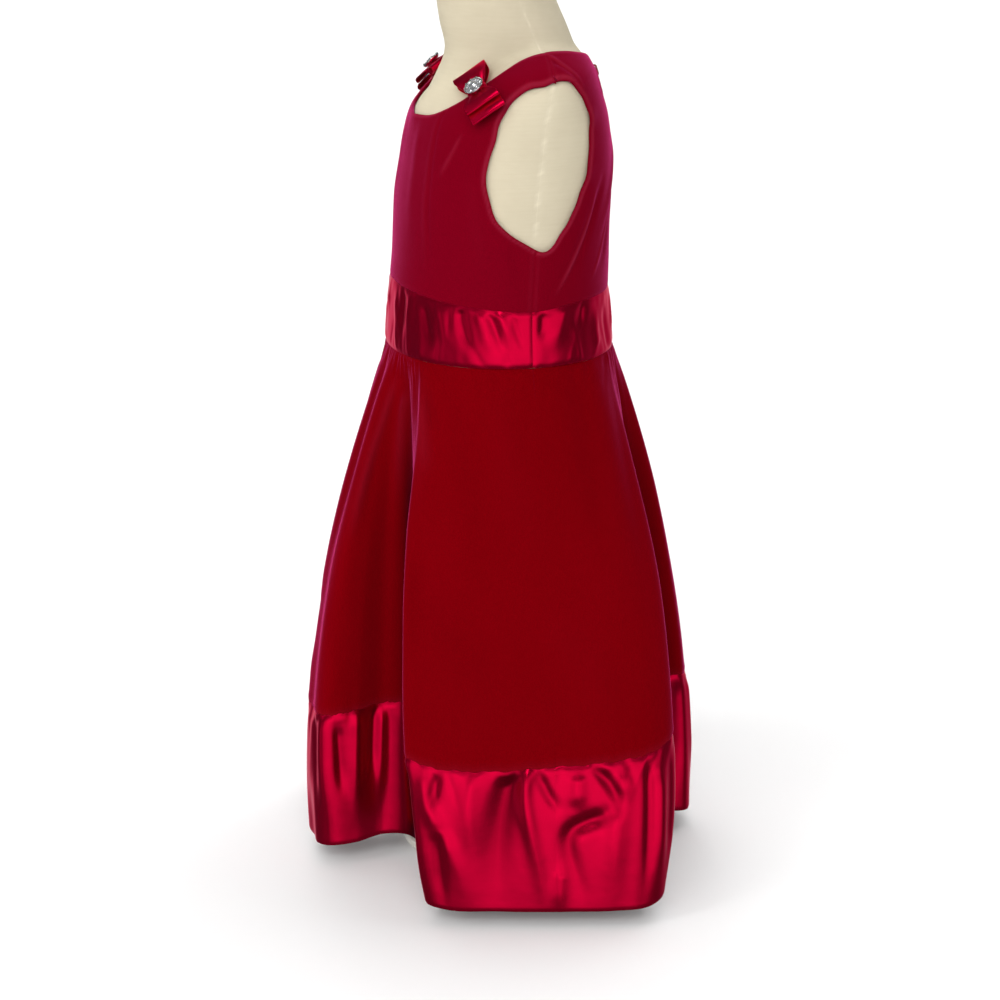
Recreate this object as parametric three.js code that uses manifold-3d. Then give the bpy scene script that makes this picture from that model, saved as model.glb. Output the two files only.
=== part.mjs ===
// A toddler's sleeveless party dress with a pleated skirt, on a table-top dress form.
// Millimetres, +Z up. The front faces -Y and the wearer's left side is +X.
// The origin is on the ground, under the middle of the form's foot.
import * as THREE from 'three';
import { mergeVertices } from 'three/addons/utils/BufferGeometryUtils.js';
import Module from 'manifold-3d';

const wasm = await Module();
wasm.setup();

// A table's rows as objects, from the names of its columns.
function table(names, rows) {
  const columns = names.split(' ');
  return rows.map((row) => Object.fromEntries(columns.map((name, c) => [name, row[c]])));
}

// Walls and the gaps between pieces
const CLOTH = 2;
const RIBBON = 1.2;
const SEAM_GAP = 0.3;
const FORM_GAP = 0.9;

// Heights
const WAIST = 400;
const HEM = 12;

// How many facets the walls have
const ROUND_COLUMNS = 56;
const BODICE_ROWS = 16;
const SKIRT_ROWS = 8;
const BAND_ROWS = 3;
const SAMPLES_PER_FOLD = 2;
const TOWARDS_SHOULDER = 1.4;
const TOWARDS_WAIST = 1.3;
const COLUMN_SAMPLES = 80;
const STAND_SEGMENTS = 40;
const JEWEL_SEGMENTS = 20;

// Small steps either side of a point, for finding how a surface is turned there
const ANGLE_STEP = 0.01;
const HEIGHT_STEP = 0.5;
const PLACE_STEP = 0.05;
const FALL_STEP = 0.005;

// The body that the bodice is cut for, at its outer face: a row for each level.
// side, front and back are where the torso's ring reaches, middle is the y of its widest point,
// square is the power of its superellipse, and neckSide, neckFront and neckBack are the neck's ring.
const BODY = table('z side front back middle square neckSide neckFront neckBack', [
  [352, 73, -60, 60, 0, 2.1, 1, -1, 1],
  [362, 84, -70, 70, 0, 2.1, 1, -1, 1],
  [376, 91, -79, 79, 0, 2.1, 1, -1, 1],
  [400, 94.5, -85, 82.5, 0, 2.1, 1, -1, 1],
  [441, 93, -82, 79, 0, 2.1, 1, -1, 1],
  [465, 94, -79.6, 79, 1, 2.1, 2, -2, 2],
  [489, 95, -78, 78.7, 2, 2.15, 4, -8, 5],
  [513, 96.5, -76, 79, 3, 2.2, 8, -20, 10],
  [537, 97.5, -72, 79.3, 5, 2.2, 16, -38, 20],
  [554, 98, -69.3, 78.6, 7, 2.15, 26, -52, 30],
  [573, 97.5, -63.5, 76.2, 9, 2.1, 36, -62, 42],
  [586, 96.5, -53.5, 72.6, 12, 2.05, 43, -58, 50],
  [600, 92.5, -36, 68, 15, 2, 46, -51, 56],
  [606, 87, -28, 66, 17, 2, 46.5, -48, 58],
  [611, 79, -20, 64, 18, 2, 47, -45.5, 59],
  [616, 68, -11, 61, 19, 2, 47, -44, 58.5],
  [621, 56, 2, 56, 19, 2, 47, -43.5, 57],
  [627, 44, 8, 46, 16, 2, 46.5, -44.5, 55],
  [637, 30, 5, 30, 12, 2, 46, -47, 51],
  [654, 10, 2, 12, 5, 2, 45, -49.5, 43.5],
  [672, 6, -6, 8, 0, 2, 44, -51, 37],
]);
const NECK_BLEND = 18;

// The neckline: its height at each angle round the body, from the middle of the front to the back.
const NECKLINE = table('angle z', [
  [-90, 573],
  [-66, 577],
  [-49, 588],
  [-37, 601],
  [-28, 610],
  [-18, 617],
  [0, 622],
  [19, 622],
  [40, 619],
  [66, 615],
  [90, 612],
]);

// The sash's upper edge, in the same way. It dips at the side seams.
const SASH_LINE = table('angle z', [
  [-90, 450],
  [-60, 448],
  [-28, 444],
  [0, 441],
  [20, 444],
  [50, 445],
  [90, 445],
]);

// The armhole's edge seen from the side, from its lowest point round by the back.
const ARMHOLE = [
  { y: 5, z: 486 },
  { y: 16, z: 490 },
  { y: 26, z: 504 },
  { y: 35, z: 521 },
  { y: 42, z: 541 },
  { y: 46, z: 564 },
  { y: 44, z: 583 },
  { y: 36, z: 598 },
  { y: 24, z: 607 },
  { y: 8, z: 603 },
  { y: -9, z: 596 },
  { y: -21, z: 581 },
  { y: -28, z: 561 },
  { y: -32, z: 538 },
  { y: -28, z: 512 },
  { y: -15, z: 497 },
];
const ARMHOLE_FROM = 64;
const ARMHOLE_TO = 130;

// Where the front and back pieces of the bodice meet, seen from the side.
const BODICE_SEAM = [
  { y: 0, z: 420 },
  { y: 4.5, z: 490 },
  { y: 16, z: 575 },
  { y: 18, z: 660 },
];
const PAST_THE_BODY = 200;

// The skirt's folds on the left half, from the middle of the front round to the middle of the back.
// angle is where the fold leaves the waist, x and y where it ends at the hem, seam the height of
// the satin band's upper edge there, lift how far the hem rises, and belly how far the fold stands
// out along y half way down.
const FOLDS = table('name angle x y seam lift belly', [
  ['front middle', -90, 0, -149, 119, 0, -3.5],
  ['front face', -86, 16, -150, 119, 1, -3.5],
  ['front corner', -82, 29, -142, 119, 3, -3.5],
  ['front wall', -78, 30, -122, 121, 4, -2],
  ['front root', -74, 24, -99, 122, 6, 0],
  ['front valley', -70, 33, -82, 122, 7, 0],
  ['front floor', -66, 66, -75, 122, 5, -2],
  ['side front wall', -62, 108, -79, 123, 2, -8],
  ['side front turn', -58.5, 138, -92, 124.5, 1, -14],
  ['side front fold', -55, 151, -94, 126.5, 2, -16],
  ['side front face', -49, 161, -80, 122, 0, -11],
  ['side quarter', -30, 172, -48, 120, 0, -4],
  ['side seam', 0, 183, -5, 123, 0, 0],
  ['side back face', 28, 192, 36, 126, 0, 3],
  ['side back fold', 47, 194, 62, 130, 1, 7],
  ['side back turn', 53, 182, 78, 135, 4, 10],
  ['side back wall', 58, 148, 77, 131, 3, 6],
  ['back floor', 63.5, 82, 77, 127, 4, 0],
  ['back valley', 68.5, 38, 86, 127, 5, 0],
  ['back root', 73, 24, 102, 127, 4, 0],
  ['back wall', 77.5, 27, 123, 127, 3, 0],
  ['back corner', 82, 28, 144, 127, 2, 0],
  ['back face', 86, 15, 152, 127, 0, 0],
  ['back middle', 90, 0, 153, 127, 0, 0],
]);
const FLARE_POWER = 2.1;
const BELLY = table('fall share', [
  [0, 0],
  [0.08, 0.08],
  [0.21, 0.45],
  [0.3, 0.7],
  [0.42, 0.95],
  [0.55, 1],
  [0.69, 0.95],
  [0.88, 0.55],
  [1, 0],
]);

// The bow on each strap: where its knot sits, and its sizes in the bow's own frame,
// in which l runs from the neck to the armhole, w along the strap and n away from the cloth.
const BOW_ANGLE = -35;
const BOW_HEIGHT = 594;
const BOW_TILT = 14;
const RIBBON_WIDTH = 27;
const LOOPS = [
  { name: 'bow_loop_neck', direction: -1, reach: 29, low: 0.5, high: 6.2 },
  { name: 'bow_loop_arm', direction: 1, reach: 29, low: 0.5, high: 4.8 },
  { name: 'bow_loop_arm_over', direction: 1, reach: 21, low: 5.2, high: 8.8 },
];
const LOOP = { points: 16, strips: 4, squareness: 0.5, pinch: 0.62, pinchEnd: 0.7 };
const KNOT = { length: 11, width: 15, low: 0.4, high: 8.6, points: 14, squareness: 0.6 };
const KNOT_SECTIONS = [[-1, 0.85], [-0.6, 1], [0.6, 1], [1, 0.85]];

// The jewel's cup and stone as profiles: how far out and how far above the knot
const CUP = [[0, 0], [6.2, 0], [7.6, 1.6], [6.8, 2.4], [0, 2.4]];
const STONE = [[0, 0], [6, 0], [6.4, 0.8], [3.4, 2.6], [0, 2.6]];
const STONE_SIDES = 10;

// The form: the levels of its rings, and its stand as a profile of radii and heights
const FORM_LEVELS = [
  352, 358, 366, 378, 400, 441, 470, 500, 525, 545, 562, 575, 586,
  593, 598, 602, 606, 610, 614, 618, 622, 627, 637, 654, 672,
];
const POLE_RADIUS = 11;
const POLE_SEGMENTS = 20;
const HUB_TOP = 26;
const FOOT = [
  [0, 0], [75, 0], [76, 1], [76, 5], [73, 8], [22, 8], [18, 12], [18, 24], [16, HUB_TOP], [0, HUB_TOP],
];

// The concealed zip's slider and pull tab, at the top of the middle back seam. The outlines are seen
// from the back, with the zip running up; the bail's is seen from the side, above the slider's face.
const ZIP_HEIGHT = 598;
const SLIDER = { low: 0.5, thickness: 2 };
const SLIDER_OUTLINE = [[-3, -5], [3, -5], [2.4, 5], [-2.4, 5]];
const BAIL_WIDTH = 1.4;
const BAIL_OPENING = 2.4;
const BAIL_OUTLINE = [
  [-4.4, -0.4], [-4.4, 2.6], [-3.4, 3.6], [3.4, 3.6], [4.4, 2.6], [4.4, -0.4],
  [3.2, -0.4], [3.2, BAIL_OPENING], [-3.2, BAIL_OPENING], [-3.2, -0.4],
];
const TAB_THICKNESS = 1.2;
const TAB_OUTLINE = [
  [-2.4, 0.7], [-2.4, -5], [-3, -15], [-1.4, -19], [1.4, -19], [3, -15], [2.4, -5], [2.4, 0.7],
];
const TAB_EYE = [[-1.2, -0.7], [1.2, -0.7], [1.2, -5.6], [-1.2, -5.6]];

const FINISH = {
  velvet: new THREE.MeshStandardMaterial({ color: 0x7d0310, roughness: 0.95, metalness: 0 }),
  satin: new THREE.MeshStandardMaterial({ color: 0xc00a3a, roughness: 0.35, metalness: 0 }),
  linen: new THREE.MeshStandardMaterial({ color: 0xd8cbb0, roughness: 0.9, metalness: 0 }),
  enamel: new THREE.MeshStandardMaterial({ color: 0xe8e4dc, roughness: 0.4, metalness: 0 }),
  silver: new THREE.MeshStandardMaterial({ color: 0xcfd0d4, roughness: 0.2, metalness: 1 }),
  crystal: new THREE.MeshStandardMaterial({ color: 0xf2f5fa, roughness: 0.05, metalness: 0 }),
  zip: new THREE.MeshStandardMaterial({ color: 0x8c1020, roughness: 0.35, metalness: 0.4 }),
};

const radians = THREE.MathUtils.degToRad;
const dress = new THREE.Group();

function addPiece(name, geometry, finish) {
  const mesh = new THREE.Mesh(geometry, FINISH[finish]);
  mesh.name = name;
  dress.add(mesh);
  return mesh;
}

// The value of a column between a table's rows: a cubic that takes its slope at a row from its neighbours.
function readTable(rows, by, at, column) {
  const last = rows.length - 1;
  let row = 0;
  while (row < last - 1 && at > rows[row + 1][by]) row += 1;
  const slope = (k) => {
    const before = rows[Math.max(k - 1, 0)];
    const after = rows[Math.min(k + 1, last)];
    return (after[column] - before[column]) / (after[by] - before[by]);
  };
  const from = rows[row];
  const to = rows[row + 1];
  const span = to[by] - from[by];
  const t = THREE.MathUtils.clamp((at - from[by]) / span, 0, 1);
  const turn = t * t * (3 - 2 * t);
  const leave = span * slope(row) * t * (1 - t) * (1 - t);
  const arrive = span * slope(row + 1) * t * t * (t - 1);
  return from[column] * (1 - turn) + to[column] * turn + leave + arrive;
}

function ringRadius(across, along, side, end, power) {
  return (Math.abs(across / side) ** power + Math.abs(along / end) ** power) ** (-1 / power);
}

// A point on the outer face of the cloth that follows the body, at an angle and a height.
function bodyPoint(angle, z) {
  const read = (column) => readTable(BODY, 'z', z, column);
  const across = Math.cos(angle);
  const along = Math.sin(angle);
  const middle = read('middle');
  const torsoEnd = along < 0 ? middle - read('front') : read('back') - middle;
  const neckEnd = along < 0 ? middle - read('neckFront') : read('neckBack') - middle;
  const torso = ringRadius(across, along, read('side'), torsoEnd, read('square'));
  const neck = ringRadius(across, along, read('neckSide'), neckEnd, 2);
  const radius = (torso ** NECK_BLEND + neck ** NECK_BLEND) ** (1 / NECK_BLEND);
  return new THREE.Vector3(radius * across, middle + radius * along, z);
}

function bodyNormal(angle, z) {
  const round = bodyPoint(angle + ANGLE_STEP, z).sub(bodyPoint(angle - ANGLE_STEP, z));
  const up = bodyPoint(angle, z + HEIGHT_STEP).sub(bodyPoint(angle, z - HEIGHT_STEP));
  return round.cross(up).normalize();
}

// The outward normals of a closed grid of points, whose rows go up and whose columns go anticlockwise.
function gridNormals(grid) {
  const rows = grid.length;
  const columns = grid[0].length;
  return grid.map((line, r) => line.map((_, c) => {
    const round = line[(c + 1) % columns].clone().sub(line[(c + columns - 1) % columns]);
    const up = grid[Math.min(r + 1, rows - 1)][c].clone().sub(grid[Math.max(r - 1, 0)][c]);
    return round.cross(up).normalize();
  }));
}

function pushedGrid(grid, normals, distance) {
  const pushed = (point, normal) => point.clone().addScaledVector(normal, distance);
  return grid.map((line, r) => line.map((point, c) => pushed(point, normals[r][c])));
}

// A wall between two grids of points. A closed wall is a tube; an open one has side edges too.
function wallGeometry(outer, inner, closed) {
  const rows = outer.length;
  const columns = outer[0].length;
  const points = [...outer.flat(), ...inner.flat()];
  const out = (r, c) => r * columns + (c % columns);
  const back = (r, c) => rows * columns + out(r, c);
  const faces = [];
  const quad = (a, b, c, d) => faces.push(a, b, c, a, c, d);
  const spans = closed ? columns : columns - 1;
  for (let c = 0; c < spans; c += 1) {
    for (let r = 0; r < rows - 1; r += 1) {
      quad(out(r, c), out(r, c + 1), out(r + 1, c + 1), out(r + 1, c));
      quad(back(r, c), back(r + 1, c), back(r + 1, c + 1), back(r, c + 1));
    }
    quad(out(0, c + 1), out(0, c), back(0, c), back(0, c + 1));
    quad(out(rows - 1, c), out(rows - 1, c + 1), back(rows - 1, c + 1), back(rows - 1, c));
  }
  if (!closed) {
    for (let r = 0; r < rows - 1; r += 1) {
      quad(out(r, 0), out(r + 1, 0), back(r + 1, 0), back(r, 0));
      quad(out(r + 1, spans), out(r, spans), back(r, spans), back(r + 1, spans));
    }
  }
  return indexedGeometry(points, faces);
}

// A solid of rings, with a flat cap at its bottom and its top.
function stackGeometry(rings) {
  const columns = rings[0].length;
  const last = rings.length - 1;
  const centre = (ring) => ring.reduce((sum, p) => sum.add(p), new THREE.Vector3()).divideScalar(columns);
  const points = [...rings.flat(), centre(rings[0]), centre(rings[last])];
  const at = (r, c) => r * columns + (c % columns);
  const bottom = rings.length * columns;
  const faces = [];
  for (let c = 0; c < columns; c += 1) {
    for (let r = 0; r < last; r += 1) {
      faces.push(at(r, c), at(r, c + 1), at(r + 1, c + 1));
      faces.push(at(r, c), at(r + 1, c + 1), at(r + 1, c));
    }
    faces.push(bottom, at(0, c + 1), at(0, c));
    faces.push(bottom + 1, at(last, c), at(last, c + 1));
  }
  return indexedGeometry(points, faces);
}

function indexedGeometry(points, faces) {
  const geometry = new THREE.BufferGeometry();
  geometry.setFromPoints(points);
  geometry.setIndex(faces);
  geometry.computeVertexNormals();
  return geometry;
}

function toSolid(geometry) {
  const bare = geometry.clone();
  bare.deleteAttribute('normal');
  if (bare.getAttribute('uv')) bare.deleteAttribute('uv');
  const merged = mergeVertices(bare, 1e-4);
  return new wasm.Manifold(new wasm.Mesh({
    numProp: 3,
    vertProperties: new Float32Array(merged.getAttribute('position').array),
    triVerts: new Uint32Array(merged.index.array),
  }));
}

function toGeometry(solid) {
  const mesh = solid.getMesh();
  const geometry = new THREE.BufferGeometry();
  geometry.setAttribute('position', new THREE.BufferAttribute(new Float32Array(mesh.vertProperties), 3));
  geometry.setIndex(new THREE.BufferAttribute(new Uint32Array(mesh.triVerts), 1));
  geometry.computeVertexNormals();
  return geometry;
}

function flatPrism(outline, depth) {
  const shape = new THREE.Shape(outline.map(([x, y]) => new THREE.Vector2(x, y)));
  return new THREE.ExtrudeGeometry(shape, { depth, bevelEnabled: false });
}

// A prism along X whose outline is given by y and z.
function sidePrism(outline, fromX, toX) {
  const turn = new THREE.Matrix4().makeBasis(
    new THREE.Vector3(0, 1, 0),
    new THREE.Vector3(0, 0, 1),
    new THREE.Vector3(1, 0, 0),
  );
  return flatPrism(outline, toX - fromX).applyMatrix4(turn).translate(fromX, 0, 0);
}

// Moves the end columns of an open panel in by half a seam gap.
function trimmedPanel(grid) {
  return grid.map((line) => {
    const ends = [[0, 1], [line.length - 1, line.length - 2]];
    const trimmed = line.map((point) => point.clone());
    for (const [end, next] of ends) {
      const inward = line[next].clone().sub(line[end]).normalize();
      trimmed[end].addScaledVector(inward, SEAM_GAP / 2);
    }
    return trimmed;
  });
}

// The wall of an open panel, from its outer points and the normals of the whole surface there,
// so that two panels that meet at a seam have matching edges.
function panelGeometry(grid, normals) {
  const panel = trimmedPanel(grid);
  return wallGeometry(panel, pushedGrid(panel, normals, -CLOTH), false);
}

// The angles of a panel's columns on the round parts of the dress.
function anglesBetween(fromDegrees, toDegrees, columns) {
  const step = (toDegrees - fromDegrees) / columns;
  return Array.from({ length: columns + 1 }, (_, c) => radians(fromDegrees + step * c));
}

// The height of an edge that is given from the front to the back, on either side of the body.
function edgeHeight(line, angle) {
  const fromFront = THREE.MathUtils.radToDeg(Math.asin(Math.sin(angle)));
  return readTable(line, 'angle', fromFront, 'z');
}

// Points up one column of the bodice, at even distances along the cloth.
function bodiceColumn(angle, rows) {
  const low = edgeHeight(SASH_LINE, angle) + SEAM_GAP / 2;
  const high = edgeHeight(NECKLINE, angle);
  const step = (high - low) / COLUMN_SAMPLES;
  const points = Array.from({ length: COLUMN_SAMPLES + 1 }, (_, k) => bodyPoint(angle, low + step * k));
  const curve = new THREE.CatmullRomCurve3(points);
  const shares = Array.from({ length: rows + 1 }, (_, r) => 1 - (1 - r / rows) ** TOWARDS_SHOULDER);
  return shares.map((share) => curve.getPointAt(share));
}

function makeBodice() {
  const angles = anglesBetween(-90, 270, ROUND_COLUMNS).slice(0, ROUND_COLUMNS);
  const columns = angles.map((angle) => bodiceColumn(angle, BODICE_ROWS));
  const outer = Array.from({ length: BODICE_ROWS + 1 }, (_, r) => columns.map((column) => column[r]));
  let shell = toSolid(wallGeometry(outer, pushedGrid(outer, gridNormals(outer), -CLOTH), true));
  const edge = new THREE.SplineCurve(ARMHOLE.map(({ y, z }) => new THREE.Vector2(y, z)));
  edge.points.push(edge.points[0]);
  const outline = edge.getPoints(ARMHOLE.length * 2).slice(0, -1).map(({ x, y }) => [x, y]);
  shell = shell.subtract(toSolid(sidePrism(outline, ARMHOLE_FROM, ARMHOLE_TO)));
  shell = shell.subtract(toSolid(sidePrism(outline, -ARMHOLE_TO, -ARMHOLE_FROM)));

  const far = PAST_THE_BODY;
  const low = BODICE_SEAM[0].z;
  const high = BODICE_SEAM[BODICE_SEAM.length - 1].z;
  const seam = (shift) => BODICE_SEAM.map(({ y, z }) => [y + shift, z]);
  const inFront = [[-far, high], [-far, low], ...seam(-SEAM_GAP / 2)];
  const behind = [[far, low], [far, high], ...seam(SEAM_GAP / 2).reverse()];
  const pieces = [
    { name: 'bodice_front', region: sidePrism(inFront, -far, far) },
    { name: 'bodice_back_left', region: sidePrism(behind, SEAM_GAP / 2, far) },
    { name: 'bodice_back_right', region: sidePrism(behind, -far, -SEAM_GAP / 2) },
  ];
  for (const { name, region } of pieces) {
    addPiece(name, toGeometry(shell.intersect(toSolid(region))), 'velvet');
  }
}

function makeSash() {
  const half = ROUND_COLUMNS / 2;
  const pieces = [
    { name: 'sash_front', from: -180, to: 0, columns: half },
    { name: 'sash_back_left', from: 0, to: 90, columns: half / 2 },
    { name: 'sash_back_right', from: 90, to: 180, columns: half / 2 },
  ];
  for (const { name, from, to, columns } of pieces) {
    const angles = anglesBetween(from, to, columns);
    const height = (angle, share) => {
      const low = WAIST + SEAM_GAP / 2;
      const high = edgeHeight(SASH_LINE, angle) - SEAM_GAP / 2;
      return low + (high - low) * share;
    };
    const levels = [0, 0.5, 1];
    const grid = levels.map((share) => angles.map((angle) => bodyPoint(angle, height(angle, share))));
    const normals = levels.map((share) => angles.map((angle) => bodyNormal(angle, height(angle, share))));
    addPiece(name, panelGeometry(grid, normals), 'satin');
  }
}

// All the folds round the skirt: the left half and its mirror image.
function foldsAllRound() {
  const left = FOLDS.map((fold) => ({ ...fold, angle: radians(fold.angle) }));
  const mirrored = (fold) => ({ ...fold, angle: Math.PI - fold.angle, x: -fold.x });
  return [...left, ...left.slice(1, -1).reverse().map(mirrored)];
}

const ROUND_FOLDS = foldsAllRound();
const WAIST_RING = ROUND_FOLDS.map((fold) => bodyPoint(fold.angle, WAIST));
const SIDE_SEAM_FOLD = FOLDS.findIndex((fold) => fold.name === 'side seam');
const BACK_FOLD = FOLDS.length - 1;

// The skirt's outer face: place counts folds round from the middle of the front, and fall goes
// from 0 at the waist to 1 at the hem. Each fold leaves the waist at a slant and ends plumb.
function skirtPoint(place, fall) {
  const flare = 1 - Math.max(1 - fall, 0) ** FLARE_POWER;
  const belly = readTable(BELLY, 'fall', fall, 'share');
  const points = ROUND_FOLDS.map((fold, k) => {
    const top = WAIST_RING[k];
    const foot = new THREE.Vector3(fold.x, fold.y, HEM + fold.lift);
    return new THREE.Vector3(
      THREE.MathUtils.lerp(top.x, foot.x, flare),
      THREE.MathUtils.lerp(top.y, foot.y, flare) + fold.belly * belly,
      THREE.MathUtils.lerp(WAIST, foot.z, fall),
    );
  });
  return closedCurvePoint(points, place);
}

function skirtNormal(place, fall) {
  const round = skirtPoint(place + PLACE_STEP, fall).sub(skirtPoint(place - PLACE_STEP, fall));
  const up = skirtPoint(place, Math.max(fall - FALL_STEP, 0)).sub(skirtPoint(place, fall + FALL_STEP));
  return round.cross(up).normalize();
}

function closedCurvePoint(points, place) {
  const count = points.length;
  const share = (((place % count) + count) % count) / count;
  return new THREE.CatmullRomCurve3(points, true, 'centripetal').getPoint(share);
}

function bandSeamFall(place) {
  const heights = ROUND_FOLDS.map((fold) => new THREE.Vector3(fold.x, fold.y, fold.seam));
  return (WAIST - closedCurvePoint(heights, place).z) / (WAIST - HEM);
}

function makeSkirt() {
  const pieces = [
    { name: 'front', from: -SIDE_SEAM_FOLD, to: SIDE_SEAM_FOLD },
    { name: 'back_left', from: SIDE_SEAM_FOLD, to: BACK_FOLD },
    { name: 'back_right', from: BACK_FOLD, to: 2 * BACK_FOLD - SIDE_SEAM_FOLD },
  ];
  const seamStep = SEAM_GAP / 2 / (WAIST - HEM);
  for (const { name, from, to } of pieces) {
    const count = (to - from) * SAMPLES_PER_FOLD;
    const places = Array.from({ length: count + 1 }, (_, c) => from + c / SAMPLES_PER_FOLD);
    const seams = places.map((place) => bandSeamFall(place));
    const velvetFall = (share, c) => seamStep + (seams[c] - 2 * seamStep) * share ** TOWARDS_WAIST;
    const satinFall = (share, c) => seams[c] + seamStep + (1 - seams[c] - seamStep) * share;
    const panel = (rows, fallAt) => {
      const shares = Array.from({ length: rows + 1 }, (_, r) => 1 - r / rows);
      const grid = shares.map((share) => places.map((place, c) => skirtPoint(place, fallAt(share, c))));
      const normals = shares.map((share) => places.map((place, c) => skirtNormal(place, fallAt(share, c))));
      return panelGeometry(grid, normals);
    };
    addPiece(`skirt_${name}`, panel(SKIRT_ROWS, velvetFall), 'velvet');
    addPiece(`hem_band_${name}`, panel(BAND_ROWS, satinFall), 'satin');
  }
}

function turnedGeometry(profile, segments) {
  const points = profile.map(([radius, height]) => new THREE.Vector2(radius, height));
  return new THREE.LatheGeometry(points, segments).rotateX(Math.PI / 2);
}

// The form stands inside the cloth: its torso follows the same body, set in by the wall and a gap.
function makeForm() {
  const top = FORM_LEVELS.length - 1;
  const angles = anglesBetween(-90, 270, ROUND_COLUMNS).slice(0, ROUND_COLUMNS);
  const skin = FORM_LEVELS.map((z) => angles.map((angle) => bodyPoint(angle, z)));
  const rings = pushedGrid(skin, gridNormals(skin), -(CLOTH + FORM_GAP));
  for (const end of [0, top]) {
    for (const point of rings[end]) point.z = FORM_LEVELS[end];
  }
  addPiece('form_torso', stackGeometry(rings), 'linen');
  const low = HUB_TOP + SEAM_GAP;
  const high = FORM_LEVELS[0] - SEAM_GAP;
  const pole = [[0, low], [POLE_RADIUS, low], [POLE_RADIUS, high], [0, high]];
  addPiece('form_pole', turnedGeometry(pole, POLE_SEGMENTS), 'enamel');
  addPiece('form_foot', turnedGeometry(FOOT, STAND_SEGMENTS), 'enamel');
}

// The frame of a bow: its place on the strap and its three directions, mirrored for the right side.
function bowFrame(side) {
  const angle = side > 0 ? radians(BOW_ANGLE) : Math.PI - radians(BOW_ANGLE);
  const place = bodyPoint(angle, BOW_HEIGHT);
  const away = bodyNormal(angle, BOW_HEIGHT);
  const outward = new THREE.Vector3(side, 0, 0);
  const across = outward.addScaledVector(away, -outward.dot(away)).normalize();
  const along = away.clone().cross(across).multiplyScalar(side);
  across.applyAxisAngle(away, radians(-BOW_TILT * side));
  along.applyAxisAngle(away, radians(-BOW_TILT * side));
  return { place, across, along, away };
}

function inFrame(frame, l, w, n) {
  return frame.place.clone()
    .addScaledVector(frame.across, l)
    .addScaledVector(frame.along, w)
    .addScaledVector(frame.away, n);
}

const squared = (value, power) => Math.sign(value) * Math.abs(value) ** power;

// One loop of ribbon is a flat tube that is pinched at the knot. Each row is its outline in l and n,
// and the rows go across the ribbon. inset draws the outline in, for the hollow.
function loopRows(frame, { direction, reach, low, high }, inset) {
  const root = KNOT.length / 2 + SEAM_GAP;
  const middleL = (root + reach) / 2;
  const middleN = (low + high) / 2;
  return Array.from({ length: LOOP.strips + 1 }, (_, strip) => {
    const across = (2 * strip) / LOOP.strips - 1;
    return Array.from({ length: LOOP.points }, (_unused, k) => {
      const turn = (2 * Math.PI * k) / LOOP.points;
      const l = middleL + ((reach - root) / 2 - inset) * squared(Math.cos(turn), LOOP.squareness);
      const n = middleN + ((high - low) / 2 - inset) * squared(Math.sin(turn), LOOP.squareness);
      const open = Math.min(1, (l - root) / (reach - root) / LOOP.pinchEnd);
      const half = (RIBBON_WIDTH / 2) * (LOOP.pinch + (1 - LOOP.pinch) * open);
      return inFrame(frame, direction * l, across * half, n);
    });
  });
}

// A solid whose faces all point out, whichever way its points ran.
function facingOut(geometry) {
  const position = geometry.getAttribute('position');
  const index = geometry.index.array;
  const [a, b, c] = [new THREE.Vector3(), new THREE.Vector3(), new THREE.Vector3()];
  let volume = 0;
  for (let k = 0; k < index.length; k += 3) {
    a.fromBufferAttribute(position, index[k]);
    b.fromBufferAttribute(position, index[k + 1]);
    c.fromBufferAttribute(position, index[k + 2]);
    volume += a.dot(b.cross(c));
  }
  if (volume < 0) index.reverse();
  geometry.computeVertexNormals();
  return geometry;
}

function turnedInFrame(frame, profile, height, segments) {
  const along = frame.away.clone().cross(frame.across);
  const basis = new THREE.Matrix4().makeBasis(frame.across, along, frame.away);
  const seat = inFrame(frame, 0, 0, height);
  return turnedGeometry(profile, segments).applyMatrix4(basis.setPosition(seat));
}

function makeBow(side, sideName) {
  const frame = bowFrame(side);
  for (const loop of LOOPS) {
    const wall = wallGeometry(loopRows(frame, loop, 0), loopRows(frame, loop, RIBBON), true);
    addPiece(`${loop.name}_${sideName}`, facingOut(wall), 'satin');
  }
  const middle = (KNOT.low + KNOT.high) / 2;
  const rise = (KNOT.high - KNOT.low) / 2;
  const rings = KNOT_SECTIONS.map(([place, scale]) => Array.from({ length: KNOT.points }, (_, k) => {
    const turn = (2 * Math.PI * k) / KNOT.points;
    const w = (KNOT.width / 2) * scale * squared(Math.cos(turn), KNOT.squareness);
    const n = middle + rise * scale * squared(Math.sin(turn), KNOT.squareness);
    return inFrame(frame, (place * KNOT.length) / 2, w, n);
  }));
  addPiece(`bow_knot_${sideName}`, facingOut(stackGeometry(rings)), 'satin');

  const seat = KNOT.high + SEAM_GAP;
  const cupTop = seat + CUP[CUP.length - 1][1] + SEAM_GAP;
  addPiece(`jewel_setting_${sideName}`, turnedInFrame(frame, CUP, seat, JEWEL_SEGMENTS), 'silver');
  addPiece(`jewel_stone_${sideName}`, turnedInFrame(frame, STONE, cupTop, STONE_SIDES), 'crystal');
}

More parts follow.
